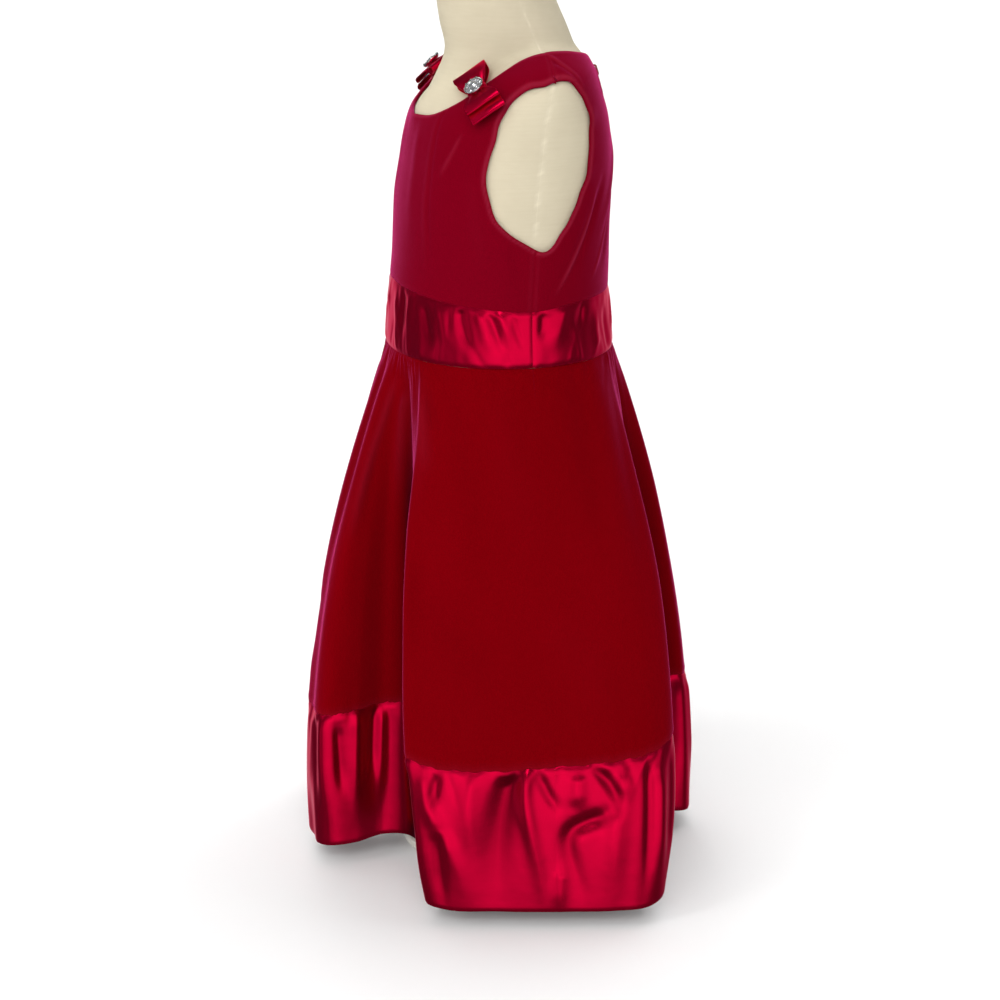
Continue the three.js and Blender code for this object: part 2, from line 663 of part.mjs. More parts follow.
// The zip's slider lies on the middle back seam; its pull tab hangs on the bail and swings about X.
function makeZip() {
  const angle = Math.PI / 2;
  const away = bodyNormal(angle, ZIP_HEIGHT);
  const up = new THREE.Vector3(1, 0, 0).cross(away).normalize();
  const placed = new THREE.Matrix4().makeBasis(new THREE.Vector3(-1, 0, 0), up, away);
  placed.setPosition(bodyPoint(angle, ZIP_HEIGHT));

  const face = SLIDER.low + SLIDER.thickness;
  const plate = flatPrism(SLIDER_OUTLINE, SLIDER.thickness).translate(0, 0, SLIDER.low);
  const bail = sidePrism(BAIL_OUTLINE, -BAIL_WIDTH / 2, BAIL_WIDTH / 2).translate(0, 0, face);
  const slider = toGeometry(toSolid(plate).add(toSolid(bail)));
  addPiece('zip_slider', slider.applyMatrix4(placed), 'zip');

  const outline = new THREE.Shape(TAB_OUTLINE.map(([x, y]) => new THREE.Vector2(x, y)));
  outline.holes.push(new THREE.Path(TAB_EYE.map(([x, y]) => new THREE.Vector2(x, y))));
  const tab = new THREE.ExtrudeGeometry(outline, { depth: TAB_THICKNESS, bevelEnabled: false });
  tab.translate(0, 0, face + (BAIL_OPENING - TAB_THICKNESS) / 2);
  addPiece('zip_pull', tab.applyMatrix4(placed), 'zip');
}

makeForm();
makeBodice();
makeSash();
makeSkirt();
makeBow(1, 'left');
makeBow(-1, 'right');
makeZip();

export default dress;
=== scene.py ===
# %% [markdown]
# # A toddler's velvet party dress on a dress form
# The dress is sleeveless, in crimson velvet, with a satin sash, a satin hem band and a bow on each strap.
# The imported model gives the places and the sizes. This script dresses it: each solid of cloth becomes a
# thin shell with its creases, and each finish is worked out by nodes. Sizes are in millimetres in the
# tables and functions, and become metres in one place, when points are put on a mesh.

# %% Frame
import math

import bmesh
import bpy
import numpy as np
from mathutils import Matrix, Vector


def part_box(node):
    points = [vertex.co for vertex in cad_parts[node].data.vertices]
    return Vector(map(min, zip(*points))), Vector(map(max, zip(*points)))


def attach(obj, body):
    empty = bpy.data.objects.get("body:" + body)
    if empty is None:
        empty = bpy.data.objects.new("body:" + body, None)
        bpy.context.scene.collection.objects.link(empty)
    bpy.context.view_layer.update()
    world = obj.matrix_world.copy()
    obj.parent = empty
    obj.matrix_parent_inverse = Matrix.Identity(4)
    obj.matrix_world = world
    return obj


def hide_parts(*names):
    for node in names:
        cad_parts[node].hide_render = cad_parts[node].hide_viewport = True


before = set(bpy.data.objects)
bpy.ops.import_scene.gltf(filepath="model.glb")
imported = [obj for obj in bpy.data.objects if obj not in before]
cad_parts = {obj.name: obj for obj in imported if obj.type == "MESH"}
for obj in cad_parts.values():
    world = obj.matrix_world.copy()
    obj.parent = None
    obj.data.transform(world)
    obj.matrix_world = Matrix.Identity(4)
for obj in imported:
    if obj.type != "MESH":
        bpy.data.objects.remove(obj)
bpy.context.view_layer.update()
MM = 0.001
rng = np.random.default_rng(21)
print("pieces in the model:", len(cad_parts))

# %% [markdown]
# ## Camera and light
# The photograph was taken from the wearer's left, a little to the front and above. A camera two metres
# away with a long lens gives the same view. Velvet shows how the light falls on it, and satin shows the
# room: so soft suns stand for the window and the ceiling, and large dim lamps in a dark room give the
# satin its bright and dark stripes.

# %% Camera and lights
CAMERA_TURN = 75.5
CAMERA_PITCH = 16.65
CAMERA_PLACE = (2.0738, -0.5363, 0.914)
CAMERA_LENS = 105.3

scene = bpy.context.scene
scene.view_settings.view_transform = "Standard"
camera_data = bpy.data.cameras.new("camera")
camera_data.lens = CAMERA_LENS
camera_data.sensor_width = 36
camera = bpy.data.objects.new("camera", camera_data)
camera.location = CAMERA_PLACE
camera.rotation_euler = (math.radians(90 - CAMERA_PITCH), 0, math.radians(CAMERA_TURN))
scene.collection.objects.link(camera)
scene.camera = camera


def direction(turn, rise):
    """The unit vector towards a place in the room, turned from +X towards +Y and raised by degrees."""
    turn, rise = math.radians(turn), math.radians(rise)
    return Vector((math.cos(rise) * math.cos(turn), math.cos(rise) * math.sin(turn), math.sin(rise)))


def soft_sun(name, turn, rise, spread, strength):
    data = bpy.data.lights.new(name, "SUN")
    data.energy = strength
    data.angle = math.radians(spread)
    light = bpy.data.objects.new(name, data)
    light.rotation_euler = (-direction(turn, rise)).to_track_quat("-Z", "Y").to_euler()
    light.visible_glossy = False
    scene.collection.objects.link(light)


soft_sun("window", -24, 28, 50, 2.3)
soft_sun("front", -75, 22, 60, 1.1)
soft_sun("ceiling", 165, 60, 70, 2.5)
soft_sun("back", 105, 30, 60, 0.8)

# %% [markdown]
# ## Finishes
# A finish is a small tree of nodes. Writing its maths as Python expressions keeps it readable: the class
# below wraps a socket, and its operators add the Math nodes. Everything that is the same all over a
# surface is set on the shader's own socket.


# %% A socket with operators
class Value:
    """The output of a node, which can be added, multiplied and so on in a Python expression."""

    def __init__(self, nodes, socket):
        self.nodes = nodes
        self.socket = socket

    def _math(self, operation, *values):
        return self.nodes.node("ShaderNodeMath", {"operation": operation}, dict(enumerate(values)))

    def __add__(self, other):
        return self._math("ADD", self, other)

    __radd__ = __add__

    def __mul__(self, other):
        return self._math("MULTIPLY", self, other)

    def __sub__(self, other):
        return self._math("SUBTRACT", self, other)

    def clamp(self, low, high):
        return self._math("MINIMUM", self._math("MAXIMUM", self, low), high)


class Nodes:
    """A tree of nodes under construction."""

    def __init__(self, tree):
        self.tree = tree

    def node(self, kind, settings=None, sockets=None, output=0):
        made = self.tree.nodes.new(kind)
        for setting, value in (settings or {}).items():
            setattr(made, setting, value)
        for socket, value in (sockets or {}).items():
            self.feed(made.inputs[socket], value)
        return Value(self, made.outputs[output])

    def feed(self, socket, value):
        if isinstance(value, Value):
            self.tree.links.new(value.socket, socket)
        else:
            socket.default_value = value


class Finish(Nodes):
    """A material under construction, with a Principled shader at its end."""

    def __init__(self, name, **sockets):
        self.material = bpy.data.materials.new(name)
        self.material.use_nodes = True
        super().__init__(self.material.node_tree)
        self.shader = self.tree.nodes["Principled BSDF"]
        self.set(**sockets)

    def set(self, **sockets):
        for socket, value in sockets.items():
            self.feed(self.shader.inputs[socket.replace("_", " ")], value)

    def coordinates(self, source="Object", scale=(1, 1, 1)):
        place = self.node("ShaderNodeTexCoord", output=source)
        return self.node("ShaderNodeMapping", {}, {"Vector": place, "Scale": scale})

    def noise(self, where, scale, detail=2.0, roughness=0.5):
        sockets = {"Vector": where, "Scale": scale, "Detail": detail, "Roughness": roughness}
        return self.node("ShaderNodeTexNoise", {}, sockets)

    def waves(self, where, scale, direction):
        settings = {"wave_type": "BANDS", "bands_direction": direction, "wave_profile": "SIN"}
        return self.node("ShaderNodeTexWave", settings, {"Vector": where, "Scale": scale})

    def attribute(self, name):
        return self.node("ShaderNodeAttribute", {"attribute_name": name}, output="Fac")

    def blend(self, share, dark, light):
        return self.node("ShaderNodeMix", {"data_type": "RGBA"}, {0: share, 6: dark, 7: light}, output=2)

    def bump(self, height, distance, strength=1.0):
        sockets = {"Height": height, "Distance": distance, "Strength": strength}
        return self.node("ShaderNodeBump", {}, sockets)


# %% [markdown]
# ## The room
# Large soft lamps stand round the dress, a little below its middle, where the satin mirrors them towards
# the camera. Between them the room is dark. A few small strong lamps higher up make the stones sparkle.

# %% Room
ROOM = 0.08
LAMPS = [
    # turn, rise, radius, strength
    (-37, -5, 28, 0.72),
    (-5, -5, 30, 0.88),
    (28, -3, 24, 0.66),
    (-84, -10, 18, 0.3),
    (112, -10, 26, 0.3),
    (150, -10, 26, 0.8),
    (190, -10, 26, 0.8),
    (-70, 55, 8, 12.0),
    (-15, 38, 7, 8.0),
    (-120, 30, 7, 8.0),
    (60, 50, 7, 8.0),
    (175, 40, 7, 8.0),
]


def make_room():
    world = bpy.data.worlds.new("room")
    world.use_nodes = True
    scene.world = world
    nodes = Nodes(world.node_tree)
    view = nodes.node("ShaderNodeTexCoord", output="Generated")
    total = ROOM
    for turn, rise, radius, strength in LAMPS:
        towards = {0: view, 1: direction(turn, rise)}
        facing = nodes.node("ShaderNodeVectorMath", {"operation": "DOT_PRODUCT"}, towards, output="Value")
        edge = {"Value": facing, "From Min": math.cos(math.radians(radius)), "From Max": 1.0}
        glow = nodes.node("ShaderNodeMapRange", {"interpolation_type": "SMOOTHSTEP"}, edge)
        total = glow * strength + total
    background = world.node_tree.nodes["Background"]
    nodes.feed(background.inputs["Color"], (1, 1, 1, 1))
    nodes.feed(background.inputs["Strength"], total)


make_room()

# %% [markdown]
# ## Velvet
# Velvet is a short dense pile. Its tips catch the light at a glancing angle, so it has a soft sheen and
# no gloss. Along creases and edges the colour is painted paler and pinker, partly for pile pressed there
# and partly as a painted sheen highlight: each cloth mesh carries an attribute, ridge, that says how much.
# Deep inside a pleat the colour is painted nearly black, as painted shade: the attribute depth says how
# far in the cloth lies. Above the sash the velvet is coloured a little pinker.


# %% Velvet
SASH_MIDDLE = 0.42
TURN_OVER = 0.01


def velvet_finish():
    velvet = Finish(
        "velvet",
        Roughness=0.95,
        Specular_IOR_Level=0.0,
        Sheen_Weight=0.5,
        Sheen_Roughness=0.3,
        Sheen_Tint=(1.0, 0.1, 0.4, 1),
    )
    place = velvet.coordinates()
    nap = velvet.noise(velvet.coordinates(scale=(1, 1, 0.2)), 22.0, 2.0)
    pile = velvet.noise(place, 1500.0, 2.0)
    shade = (nap - 0.5) * 0.5 + (pile - 0.5) * 0.4 + 0.5
    ground = velvet.blend(shade.clamp(0, 1), (0.112, 0.0, 0.0012, 1), (0.152, 0.0001, 0.0024, 1))
    height = velvet.node("ShaderNodeSeparateXYZ", {}, {0: place}, output=2)
    above_sash = ((height - SASH_MIDDLE) * (1 / TURN_OVER)).clamp(0, 1)
    ground = velvet.blend(above_sash, ground, (0.134, 0.0003, 0.0062, 1))
    # Painted shade: the colour goes nearly black where the depth attribute marks pleats and crease troughs
    ground = velvet.blend(velvet.attribute("depth"), ground, (0.022, 0.0, 0.0004, 1))
    # Painted sheen highlight, partly pressed pile: paler and pinker where the ridge attribute is high
    pressed_and_sheen = velvet.attribute("ridge").clamp(0, 1)
    velvet.set(Base_Color=velvet.blend(pressed_and_sheen, ground, (0.30, 0.02, 0.05, 1)))
    velvet.set(Normal=velvet.bump(pile, 0.0005, 0.4))
    return velvet.material


# %% [markdown]
# ## Satin
# Satin shows long floats of shiny coloured thread, so it mirrors the room in its own colour, as a metal
# does. A little blue keeps it crimson where it is bright. Very shallow waves break up the highlights.


# %% Satin
def satin_finish():
    satin = Finish(
        "satin",
        Metallic=0.97,
        Specular_Tint=(1.0, 0.5, 0.65, 1),
        Sheen_Weight=0.04,
        Sheen_Roughness=0.4,
        Sheen_Tint=(1.0, 0.3, 0.5, 1),
    )
    slubs = satin.noise(satin.coordinates("UV", (40, 900, 1)), 1.0, 2.0)
    waves = satin.noise(satin.coordinates(), 60.0, 2.0, 0.45)
    ground = satin.blend(slubs, (0.79, 0.0005, 0.042, 1), (0.84, 0.001, 0.05, 1))
    # Painted reflection of the dark far wall: the colour darkens where the depth attribute marks pleats and
    # troughs
    satin.set(Base_Color=satin.blend(satin.attribute("depth"), ground, (0.07, 0.0, 0.002, 1)))
    satin.set(Roughness=0.29 + slubs * 0.02)
    fine = satin.bump(slubs, 0.00004, 0.2)
    soft = {"Height": waves, "Distance": 0.001, "Strength": 0.25, "Normal": fine}
    satin.set(Normal=satin.node("ShaderNodeBump", {}, soft))
    return satin.material


# %% Linen, enamel, silver, crystal
def linen_finish():
    linen = Finish("linen", Roughness=0.85, Specular_IOR_Level=0.2)
    place = linen.coordinates()
    across = linen.waves(linen.coordinates("UV"), 420.0, "X")
    up = linen.waves(linen.coordinates("UV"), 420.0, "Y")
    slubs = linen.noise(linen.coordinates("UV", (30, 400, 1)), 1.0, 3.0)
    stains = linen.noise(place, 12.0, 4.0, 0.6)
    weave = across * 0.5 + up * 0.5
    tone = stains * 0.7 + weave * 0.12 + slubs * 0.18
    colour = linen.blend(tone.clamp(0, 1), (0.40, 0.345, 0.245, 1), (0.62, 0.56, 0.42, 1))
    linen.set(Base_Color=linen.blend(linen.attribute("ridge").clamp(0, 1), colour, (0.84, 0.78, 0.62, 1)))
    linen.set(Normal=linen.bump(weave + slubs, 0.0003, 0.5))
    return linen.material


def plain_finish(name, colour, roughness, metallic, marks, **sockets):
    plain = Finish(name, Metallic=metallic, **sockets)
    grain = plain.noise(plain.coordinates(), marks, 4.0, 0.6)
    darker = tuple(0.86 * c for c in colour[:3]) + (1,)
    plain.set(Base_Color=plain.blend(grain, darker, colour))
    plain.set(Roughness=roughness + grain * 0.1)
    return plain.material


VELVET = velvet_finish()
SATIN = satin_finish()
LINEN = linen_finish()
ENAMEL = plain_finish("enamel", (0.72, 0.69, 0.62, 1), 0.3, 0.0, 90.0)
SILVER = plain_finish("silver", (0.86, 0.86, 0.88, 1), 0.1, 1.0, 400.0)
CLEAR_COAT = {"Coat_Weight": 1.0, "Coat_Roughness": 0.0}
CRYSTAL = plain_finish("crystal", (0.97, 0.98, 1.0, 1), 0.02, 0.85, 300.0, **CLEAR_COAT)
ZIP_ENAMEL = plain_finish("zip_enamel", (0.24, 0.004, 0.012, 1), 0.3, 0.3, 500.0)
print("finishes:", len(bpy.data.materials))

# %% [markdown]
# ## The body under the cloth
# The bodice follows a body that is given by a few rings. Each ring is a superellipse for the torso,
# smoothly joined to an ellipse for the neck. The same numbers shaped the solids, so the shells fit them.


# %% Tables and curves
def table(columns, *rows):
    return dict(zip(columns.split(), np.array(rows, float).T))


def read(rows, by, at, column):
    """A smooth value between a table's rows: a cubic whose slopes come from the neighbouring rows."""
    keys, values = rows[by], rows[column]
    slopes = np.gradient(values, keys)
    slopes[1:-1] = (values[2:] - values[:-2]) / (keys[2:] - keys[:-2])
    k = np.clip(np.searchsorted(keys, at, side="right") - 1, 0, len(keys) - 2)
    span = keys[k + 1] - keys[k]
    t = np.clip((at - keys[k]) / span, 0, 1)
    turn = t * t * (3 - 2 * t)
    ends = values[k] * (1 - turn) + values[k + 1] * turn
    return ends + span * (slopes[k] * t * (1 - t) ** 2 + slopes[k + 1] * t * t * (t - 1))


BODY = table(
    "z side front back middle square neck_side neck_front neck_back",
    (352, 73, -60, 60, 0, 2.1, 1, -1, 1),
    (362, 84, -70, 70, 0, 2.1, 1, -1, 1),
    (376, 91, -79, 79, 0, 2.1, 1, -1, 1),
    (400, 94.5, -85, 82.5, 0, 2.1, 1, -1, 1),
    (441, 93, -82, 79, 0, 2.1, 1, -1, 1),
    (465, 94, -79.6, 79, 1, 2.1, 2, -2, 2),
    (489, 95, -78, 78.7, 2, 2.15, 4, -8, 5),
    (513, 96.5, -76, 79, 3, 2.2, 8, -20, 10),
    (537, 97.5, -72, 79.3, 5, 2.2, 16, -38, 20),
    (554, 98, -69.3, 78.6, 7, 2.15, 26, -52, 30),
    (573, 97.5, -63.5, 76.2, 9, 2.1, 36, -62, 42),
    (586, 96.5, -53.5, 72.6, 12, 2.05, 43, -58, 50),
    (600, 92.5, -36, 68, 15, 2, 46, -51, 56),
    (606, 87, -28, 66, 17, 2, 46.5, -48, 58),
    (611, 79, -20, 64, 18, 2, 47, -45.5, 59),
    (616, 68, -11, 61, 19, 2, 47, -44, 58.5),
    (621, 56, 2, 56, 19, 2, 47, -43.5, 57),
    (627, 44, 8, 46, 16, 2, 46.5, -44.5, 55),
    (637, 30, 5, 30, 12, 2, 46, -47, 51),
    (654, 10, 2, 12, 5, 2, 45, -49.5, 43.5),
    (672, 6, -6, 8, 0, 2, 44, -51, 37),
)
NECKLINE = table(
    "angle z",
    (-90, 573),
    (-66, 577),
    (-49, 588),
    (-37, 601),
    (-28, 610),
    (-18, 617),
    (0, 622),
    (19, 622),
    (40, 619),
    (66, 615),
    (90, 612),
)
SASH_LINE = table(
    "angle z",
    (-90, 450),
    (-60, 448),
    (-28, 444),
    (0, 441),
    (20, 444),
    (50, 445),
    (90, 445),
)
ARMHOLE = table(
    "y z",
    (5, 486),
    (16, 490),
    (26, 504),
    (35, 521),
    (42, 541),
    (46, 564),
    (44, 583),
    (36, 598),
    (24, 607),
    (8, 603),
    (-9, 596),
    (-21, 581),
    (-28, 561),
    (-32, 538),
    (-28, 512),
    (-15, 497),
)
NECK_BLEND = 18
WAIST, HEM = 400.0, 12.0


def ring_radius(across, along, side, end, power):
    return (np.abs(across / side) ** power + np.abs(along / end) ** power) ** (-1 / power)


def body(angle, z):
    """Points on the cloth's outer face over the body, at angles in radians and heights in mm."""
    across, along = np.cos(angle), np.sin(angle)
    ring = {column: read(BODY, "z", z, column) for column in BODY if column != "z"}
    middle, front = ring["middle"], along < 0
    torso_end = np.where(front, middle - ring["front"], ring["back"] - middle)
    neck_end = np.where(front, middle - ring["neck_front"], ring["neck_back"] - middle)
    torso = ring_radius(across, along, ring["side"], torso_end, ring["square"])
    neck = ring_radius(across, along, ring["neck_side"], neck_end, 2)
    radius = (torso**NECK_BLEND + neck**NECK_BLEND) ** (1 / NECK_BLEND)
    return np.stack([radius * across, middle + radius * along, z + 0 * across], axis=-1)


def edge_height(line, angle):
    """The height of an edge that is given from the front to the back, on either side of the body."""
    return read(line, "angle", np.degrees(np.arcsin(np.sin(angle))), "z")


def sash_top(angle):
    return edge_height(SASH_LINE, angle)


def neckline(angle):
    return edge_height(NECKLINE, angle)


def normals_of(surface, u, v, step_u, step_v):
    """Outward normals of a surface whose u runs anticlockwise and whose v runs up."""
    round_it = surface(u + step_u, v) - surface(u - step_u, v)
    up_it = surface(u, v + step_v) - surface(u, v - step_v)
    normal = np.cross(round_it, up_it)
    return normal / np.linalg.norm(normal, axis=-1, keepdims=True)


def length_along(line):
    """The distance from a line's first point to each of its points."""
    return np.concatenate([[0], np.cumsum(np.linalg.norm(np.diff(line, axis=0), axis=1))])


waist_line = body(np.linspace(0, 2 * np.pi, 200), np.full(200, WAIST))
print("waist round the outside:", round(float(length_along(waist_line)[-1])), "mm")

# %% [markdown]
# ## Cloth as a grid
# A flat grid, made by one operator, is the natural start for cloth: each vertex knows its place on the
# cut piece, and a function puts it on the dress. The flat place stays on the mesh as its UV map, so the
# weave runs as it does on the cut cloth. Creases are placed, each with its path over the surface and
# moved along the surface's normal. A Solidify modifier gives the wall.


# %% Cloth helpers
def flat_cloth(columns, rows):
    """A flat grid of cloth and the shares u and v of its vertices, across and up."""
    mesh = bmesh.new()
    bmesh.ops.create_grid(mesh, x_segments=columns, y_segments=rows, size=0.5)
    flat = np.array([vertex.co[:2] for vertex in mesh.verts]) + 0.5
    return mesh, flat[:, 0], flat[:, 1]


def smooth(share):
    share = np.clip(share, 0, 1)
    return share * share * (3 - 2 * share)


def bell(distance, width):
    return np.exp(-((distance / width) ** 2))


def route(points, t):
    """A smooth path through a few points, given for each t from 0 to 1."""
    at = np.linspace(0, 1, len(points))
    return (np.polyval(np.polyfit(at, values, len(points) - 1), t) for values in zip(*points))


# A crease starts at about CREASE_STARTS of its depth, grows to the whole of it over the share CREASE_GROWS
# of its path, and fades out over the share CREASE_FADES at its end
CREASE_SAMPLES = 36
CREASE_REACH = 2.4
CREASE_STARTS, CREASE_GROWS, CREASE_FADES = 0.45, 0.25, 0.5


def creases(surface, points, rows):
    """How far each point moves out for a list of creases, how much its ridges are painted paler for pressed
    pile and sheen, and how deep it lies in troughs, which becomes painted shade.

    A crease is its depth, its widths at the start and the end, and the points of its path. It is
    strong where it starts and dies away towards its end.
    """
    height, pressed_and_sheen, hollow = np.zeros((3, len(points)))
    t = np.linspace(0, 1, CREASE_SAMPLES)
    for depth, first_width, last_width, *places in rows:
        path = surface(*route(places, t))
        tangent = np.gradient(path, axis=0)
        step = np.linalg.norm(tangent, axis=1, keepdims=True)
        tangent /= step
        reach = CREASE_REACH * max(first_width, last_width)
        inside_box = (points > path.min(axis=0) - reach) & (points < path.max(axis=0) + reach)
        near = np.nonzero(inside_box.all(axis=1))[0]
        if len(near) == 0:
            continue
        # The gap is measured to the path between its samples, so that the crease has no ripple
        nearest = np.linalg.norm(points[near, None] - path[None], axis=2).argmin(axis=1)
        gap = points[near] - path[nearest]
        half = step[nearest, 0] / 2
        past = np.clip((gap * tangent[nearest]).sum(axis=1), -half, half)
        gap -= past[:, None] * tangent[nearest]
        along = np.clip(t[nearest] + past / half * t[1] / 2, 0, 1)
        fade = smooth(along / CREASE_GROWS + CREASE_STARTS) * smooth((1 - along) / CREASE_FADES)
        shape = fade * bell(np.linalg.norm(gap, axis=1), first_width + (last_width - first_width) * along)
        height[near] += depth * shape
        # Painted sheen, partly pressed pile: narrow ridges are coloured paler
        pressed_and_sheen[near] += max(depth, 0) * shape / max(first_width, last_width) ** 2
        # Trough depth, which the finishes turn into painted shade
        hollow[near] += max(-depth, 0) * shape
    return height, pressed_and_sheen, hollow


# How much painted shade a trough gets for each mm of its depth: on satin it is a painted reflection of its
# own dark far wall there
SATIN_SHADE = 0.09
VELVET_SHADE = 0.05


def other_side(rows, top):
    """The same creases and their mirror images, which differ a little in place, width and depth."""
    mirrored = []
    for depth, first_width, last_width, *places in rows:
        scale, shift = rng.uniform(0.75, 1.2), rng.normal(0, 0.01) * top
        far_places = [(top - u + shift, v) for u, v in places]
        mirrored.append((depth * scale, first_width * scale, last_width, *far_places))
    return [*rows, *mirrored]


def puckers(along, away, length, depth):
    """Short gathers at right angles to a seam: how far they lift the cloth at each point."""
    height = np.zeros(len(along))
    at = 0.0
    while at < length:
        sign = rng.choice([-1, 1])
        width, reach, slant = rng.uniform(2.0, 4.2), rng.uniform(8, 26), rng.normal(0, 0.25)
        lift = sign * depth * rng.uniform(0.4, 1.1)
        height += lift * bell(along - at - slant * away, width) * bell(away, reach)
        at += rng.uniform(8, 17)
    return height


def finished(name, mesh, material, *nodes, body_name="dress"):
    """Makes a mesh's object, smooth up to its open edges, riding on its body in place of its nodes."""
    for face in mesh.faces:
        face.smooth = True
    for edge in mesh.edges:
        edge.smooth = not edge.is_boundary
    data = bpy.data.meshes.new(name)
    mesh.to_mesh(data)
    mesh.free()
    data.materials.append(material)
    piece = bpy.data.objects.new(name, data)
    scene.collection.objects.link(piece)
    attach(piece, body_name)
    if nodes:
        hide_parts(*nodes)
    return piece


def wear(mesh, points, flat, pressed_and_sheen=0.0, painted_shade=0.0):
    """Puts a cloth's vertices at points in mm, and stores the flat place, the share painted paler for
    pressed pile and sheen, and the share of painted shade.
    """
    layer = mesh.loops.layers.uv.new("cut")
    # ridge holds the share painted paler, depth the share of painted shade
    ridge, depth = mesh.verts.layers.float.new("ridge"), mesh.verts.layers.float.new("depth")
    pressed_and_sheen, painted_shade = pressed_and_sheen + np.zeros(len(points)), painted_shade + np.zeros(len(points))
    for vertex, point, ridge_here, painted_shade_here in zip(mesh.verts, points * MM, pressed_and_sheen, painted_shade):
        vertex.co = point
        vertex[ridge] = ridge_here
        vertex[depth] = painted_shade_here
    for face in mesh.faces:
        for loop in face.loops:
            loop[layer].uv = flat[loop.vert.index]


VELVET_WALL, SATIN_WALL, RIBBON_WALL = 1.8, 1.0, 0.5


def thicken(piece, wall):
    solid = piece.modifiers.new("wall", "SOLIDIFY")
    solid.thickness = wall * MM
    solid.offset = -1
    solid.use_even_offset = False


def flat_area(mesh):
    return sum(face.calc_area() for face in mesh.faces)


def seam_dip(distance, depth=0.9, reach=1.6):
    """Cloth turns in where it is sewn: how far it dips at a distance from the seam."""
    return -depth * bell(distance, reach)


# %% [markdown]
# ## The form
# Cream linen is stretched over the torso, with a seam at each side. It is the same body, set in by the
# wall of the cloth and a small gap.


# %% Form
FORM_INSET = 2.9
FORM_LOW, FORM_HIGH = 352.0, 672.0
FORM_GIRTH, FORM_LENGTH = 580, 380
SIDE_RADIUS = 90


def form_skin(angle, z):
    normal = normals_of(body, angle, z, 0.01, 0.5)
    return body(angle, z) - normal * FORM_INSET


def make_form():
    mesh, u, v = flat_cloth(columns=180, rows=130)
    angle = 2 * np.pi * u
    heights = FORM_LOW + (FORM_HIGH - FORM_LOW) * v
    normal = normals_of(body, angle, heights, 0.01, 0.5)
    to_seam = SIDE_RADIUS * np.abs((angle + np.pi / 2) % np.pi - np.pi / 2)
    wavering = 0.25 * np.sin(heights * 0.31) + 0.2 * np.sin(heights * 0.83 + 1)
    ridge = bell(to_seam - 1.2 - wavering, 0.8)
    rise = 0.25 * ridge - 0.3 * bell(to_seam, 0.6)
    points = form_skin(angle, heights) + normal * rise[:, None]
    flat = np.stack([u * FORM_GIRTH, v * FORM_LENGTH], axis=1) * MM
    wear(mesh, points, flat, 0.8 * ridge)
    bmesh.ops.remove_doubles(mesh, verts=mesh.verts, dist=1e-5)
    rims = [edge for edge in mesh.edges if edge.is_boundary]
    inner = bmesh.ops.extrude_edge_only(mesh, edges=rims)["geom"]
    for vertex in (item for item in inner if isinstance(item, bmesh.types.BMVert)):
        upper = vertex.co.z > 0.5
        vertex.co.x *= 0.95
        vertex.co.y *= 0.95
        vertex.co.z += 1.2 * MM if upper else -1.2 * MM
    bmesh.ops.holes_fill(mesh, edges=[edge for edge in mesh.edges if edge.is_boundary], sides=0)
    return finished("form_torso_cover", mesh, LINEN, "form_torso")


make_form()


def turned(mesh, profile, segments, place=Matrix.Identity(4)):
    """Spins a profile of radii and heights in mm round the local Z axis of a place."""
    verts = [mesh.verts.new((radius * MM, 0, height * MM)) for radius, height in profile]
    edges = [mesh.edges.new(pair) for pair in zip(verts, verts[1:])]
    bmesh.ops.spin(
        mesh,
        geom=verts + edges,
        cent=(0, 0, 0),
        axis=(0, 0, 1),
        angle=2 * math.pi,
        steps=segments,
        use_merge=True,
    )
    bmesh.ops.remove_doubles(mesh, verts=mesh.verts, dist=1e-6)
    bmesh.ops.recalc_face_normals(mesh, faces=mesh.faces)
    bmesh.ops.transform(mesh, matrix=place, verts=mesh.verts)


def make_stand():
    low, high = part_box("form_pole")
    radius, bottom, top = high[0] / MM, low[2] / MM, high[2] / MM
    pole = bmesh.new()
    lower_half = [(0, bottom), (radius - 1, bottom), (radius, bottom + 1)]
    upper_half = [(radius, top - 1), (radius - 1, top), (0, top)]
    turned(pole, lower_half + upper_half, 64)
    finished("form_pole_enamelled", pole, ENAMEL, "form_pole")
    low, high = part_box("form_foot")
    radius, hub_top = high[0] / MM, high[2] / MM
    quarter = math.pi / 2
    rim = [(radius - 2 + 2 * math.sin(t), 2 - 2 * math.cos(t)) for t in np.linspace(0, quarter, 5)]
    shoulder = [(radius - 3 + 3 * math.cos(t), 5 + 3 * math.sin(t)) for t in np.linspace(0, quarter, 6)]
    hub = [(22, 8), (19, 9), (18, 12), (18, hub_top - 2), (17.4, hub_top - 0.6), (16, hub_top), (0, hub_top)]
    foot = bmesh.new()
    turned(foot, [(0, 0), *rim, *shoulder, *hub], 96)
    finished("form_foot_enamelled", foot, ENAMEL, "form_foot")


make_stand()

# %% [markdown]
# ## Bodice
# The front and the two backs are cut to the same body. The armhole is cut from the grid: faces inside
# the outline go, and the vertices left along the cut slide onto the outline. The cloth is a little loose
# at the back, where it drags in slanting creases from the armhole to the middle.


# %% Bodice surface
def bodice_height(angle, share):
    """The height at a share of the way up the cloth, from the sash to the neckline, at each angle."""
    result = np.empty_like(share)
    for value in np.unique(np.round(angle, 6)):
        chosen = np.isclose(angle, value, atol=2e-6)
        heights = np.linspace(sash_top(value), neckline(np.array([value]))[0], 90)
        lengths = length_along(body(np.full(90, value), heights))
        result[chosen] = np.interp(share[chosen], lengths / lengths[-1], heights)
    return result


